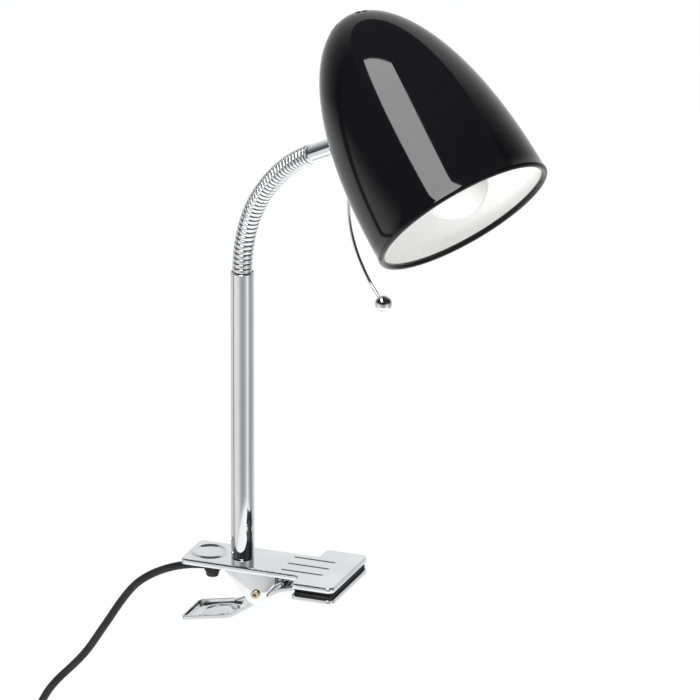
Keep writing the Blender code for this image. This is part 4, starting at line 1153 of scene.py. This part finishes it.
def build_plug():
    """Flat two-pin plug with a ribbed boot, hanging pins down."""
    low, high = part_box("plug_body")
    start = Vector(((low.x + high.x) / 2, (low.y + high.y) / 2, high.z))
    down = axis_frame(start, (0, 0, -1))
    profile = [(0.0, 0.0), (2.7 * MM, 0.0)]
    ribs = 5
    for k in range(ribs * 6 + 1):
        share = k / (ribs * 6)
        wave = 0.25 * MM * (1 - math.cos(2 * math.pi * k / 6)) / 2
        profile.append((3.05 * MM + 2.1 * MM * share ** 1.3 - wave, 0.6 * MM + 19.0 * MM * share))
    profile.append((0.0, 20.5 * MM))
    boot = piece("plug_boot", turned("boot", profile[::-1], 48), BLACK_PLASTIC, down)
    settle(boot, "stand", "black_plastic")
    half = Vector((13.0, 6.5, 10.0)) * MM
    centre = Vector((0, 0, 28.0)) * MM
    block = rounded_block("plug_block", centre - half, centre + half, 3.0 * MM)
    body = settle(piece("plug_moulding", block, BLACK_PLASTIC, down), "stand", "black_plastic", "plug_body")
    made = [boot, body]
    for number, offset in ((1, -9.3 * MM), (2, 9.3 * MM)):
        pin = fillet([
            (0.0, 57.0 * MM, 0), (2.0 * MM, 57.0 * MM, 1.1 * MM), (2.0 * MM, 47.0 * MM, 0.05 * MM),
            (1.85 * MM, 46.8 * MM, 0.05 * MM), (1.85 * MM, 37.6 * MM, 0), (0.0, 37.6 * MM, 0),
        ])
        place = down @ Matrix.Translation((offset, 0, 0))
        prong = piece(f"plug_prong_{number}", turned("pin", pin, 40), STEEL, place)
        made.append(settle(prong, "stand", "steel", f"plug_pin_{number}"))
    return made


# ---------------------------------------------------------------- stage


def build_camera():
    """Long lens, 21.5 degrees to the right of the front and 21.5 degrees above."""
    level = math.cos(CAMERA_ELEVATION)
    back = Vector((
        math.sin(CAMERA_AZIMUTH) * level, -math.cos(CAMERA_AZIMUTH) * level, math.sin(CAMERA_ELEVATION),
    ))
    data = bpy.data.cameras.new("camera")
    data.sensor_width = 36.0
    data.lens = CAMERA_LENS
    data.clip_end = 100.0
    camera = bpy.data.objects.new("camera", data)
    bpy.context.scene.collection.objects.link(camera)
    camera.location = CAMERA_TARGET + back * CAMERA_DISTANCE
    camera.rotation_mode = "QUATERNION"
    camera.rotation_quaternion = (-back).to_track_quat("-Z", "Y")
    bpy.context.scene.camera = camera


def area_light(name, centre, tall, wide, power):
    """A rectangular light spanned by its tall and wide edges; it shines along wide x tall."""
    tall, wide = Vector(tall), Vector(wide)
    data = bpy.data.lights.new(name, "AREA")
    data.shape = "RECTANGLE"
    data.size, data.size_y = wide.length, tall.length
    data.energy = power
    light = bpy.data.objects.new(name, data)
    bpy.context.scene.collection.objects.link(light)
    facing = wide.cross(tall).normalized()
    across = wide.normalized()
    upright = (-facing).cross(across)
    light.matrix_world = Matrix.Translation(centre) @ Matrix((across, upright, -facing)).transposed().to_4x4()
    return light


def eased_range(nodes, links, source, start, end, low, high):
    """A value that turns smoothly from low to high as the source goes from start to end."""
    scale = nodes.new("ShaderNodeMapRange")
    scale.interpolation_type = "SMOOTHSTEP"
    for socket, value in zip(("From Min", "From Max", "To Min", "To Max"), (start, end, low, high)):
        scale.inputs[socket].default_value = value
    links.new(source, scale.inputs["Value"])
    return scale.outputs["Result"]


def tent_strength(nodes, links, split, bearing):
    """Full below the fade and behind the lamp, and dark above the fade elsewhere."""
    below = eased_range(nodes, links, split.outputs["Z"], *TENT_FADE, 1.0, TENT_DARK)
    turned_away = nodes.new("ShaderNodeMath")
    turned_away.operation = "ABSOLUTE"
    links.new(bearing.outputs[0], turned_away.inputs[0])
    behind = eased_range(nodes, links, turned_away.outputs[0], *TENT_REAR, 0.0, 1.0)
    larger = nodes.new("ShaderNodeMath")
    larger.operation = "MAXIMUM"
    links.new(below, larger.inputs[0])
    links.new(behind, larger.inputs[1])
    return larger.outputs[0]


def tent_card():
    """White card, brighter and darker by its bearing from the lamp."""
    made = bpy.data.materials.new("tent_card")
    made.use_nodes = True
    nodes, links = made.node_tree.nodes, made.node_tree.links
    nodes.remove(nodes["Principled BSDF"])
    light = nodes.new("ShaderNodeEmission")
    where = nodes.new("ShaderNodeTexCoord")
    split = nodes.new("ShaderNodeSeparateXYZ")
    bearing = nodes.new("ShaderNodeMath")
    bearing.operation = "ARCTAN2"
    scale = nodes.new("ShaderNodeMapRange")
    scale.inputs["From Min"].default_value = math.pi
    scale.inputs["From Max"].default_value = -math.pi
    ramp = nodes.new("ShaderNodeValToRGB")
    while len(ramp.color_ramp.elements) < len(TENT_STOPS):
        ramp.color_ramp.elements.new(0.5)
    for element, (at, value) in zip(ramp.color_ramp.elements, TENT_STOPS):
        element.position = 0.5 + at / 360
        element.color = (value, value, value, 1.0)
    links.new(where.outputs["Object"], split.inputs[0])
    links.new(split.outputs["X"], bearing.inputs[0])
    links.new(split.outputs["Y"], bearing.inputs[1])
    links.new(bearing.outputs[0], scale.inputs["Value"])
    links.new(scale.outputs["Result"], ramp.inputs["Fac"])
    links.new(ramp.outputs["Color"], light.inputs["Color"])
    links.new(tent_strength(nodes, links, split, bearing), light.inputs["Strength"])
    links.new(light.outputs["Emission"], nodes["Material Output"].inputs["Surface"])
    return made


def build_reflection_tent():
    """Card standing round the lamp under a dark lid, seen only in the lamp's shiny parts."""
    around = 240
    bm = bmesh.new()
    rings = [
        [bm.verts.new((TENT_RADIUS * math.cos(a), TENT_RADIUS * math.sin(a), z))
         for a in (2 * math.pi * k / around for k in range(around))]
        for z in (TENT_FOOT, TENT_TOP)
    ]
    skin(bm, rings)
    bm.faces.new(rings[1]).material_index = 1
    lid_card = new_material(
        "tent_dark", (0.02, 0.02, 0.02), 1.0, Emission_Strength=TENT_DARK, Emission_Color=(1, 1, 1, 1),
    )
    tent = piece("reflection_tent", finished(bm, "tent"), [tent_card(), lid_card])
    turn = Matrix.Rotation(CAMERA_AZIMUTH + math.pi, 4, "Z")
    tent.matrix_world = Matrix.Translation(TENT_CENTRE) @ turn
    tent.visible_camera = False
    tent.visible_diffuse = False
    tent.visible_shadow = False
    tent.visible_transmission = False


def build_stage():
    """Pale floor just below the hanging lead, a white surround and soft studio lights."""
    floor_z = cad_box[0].z - FLOOR_GAP
    bm = bmesh.new()
    bmesh.ops.create_grid(bm, x_segments=1, y_segments=1, size=FLOOR_HALF)
    floor = piece("floor", finished(bm, "floor"), new_material("floor_paint", (0.93, 0.93, 0.93), 0.9),
                  Matrix.Translation((0, 0, floor_z)))

    world = bpy.data.worlds.new("studio")
    bpy.context.scene.world = world
    world.use_nodes = True
    background = world.node_tree.nodes["Background"]
    background.inputs["Color"].default_value = (1.0, 1.0, 1.0, 1.0)
    background.inputs["Strength"].default_value = WORLD_STRENGTH

    softbox = area_light("softbox", SOFTBOX_CENTRE, SOFTBOX_TALL, SOFTBOX_WIDE, SOFTBOX_POWER)
    softbox.visible_camera = False
    glow = area_light("shade_glow", GLOW_CENTRE, GLOW_TALL, GLOW_WIDE, GLOW_POWER)
    glow.visible_camera = False
    glow.visible_glossy = False
    build_reflection_tent()
    bpy.context.scene.view_settings.view_transform = "Standard"


# ---------------------------------------------------------------- build

build_camera()
build_lead()
build_cord_grip()
build_upper_plate()
build_lower_plate()
ribbed_pad("upper_pad", "stand", False)
ribbed_pad("lower_pad", "lower_jaw", True)
build_rivet()
build_post()
build_neck()
build_shade()
build_joint()
build_lamp()
build_grip_wire()
for name in ("post_stud", "post_washer", "post_nut", "post_bush", "joint_nut", "holder_bracket", "holder_nut",
             "wire_nut"):
    keep(name, STEEL)
keep("joint_collar", CHROME, 0.2 * MM)
keep("bulb_cap", ALUMINIUM)
keep("inner_lead", CORD_SHEATH, 0.0, 1)
keep("clamp_spring", STEEL, 0.0, 2)
keep("spring_leg", STEEL, 0.0, 1)
build_stage()
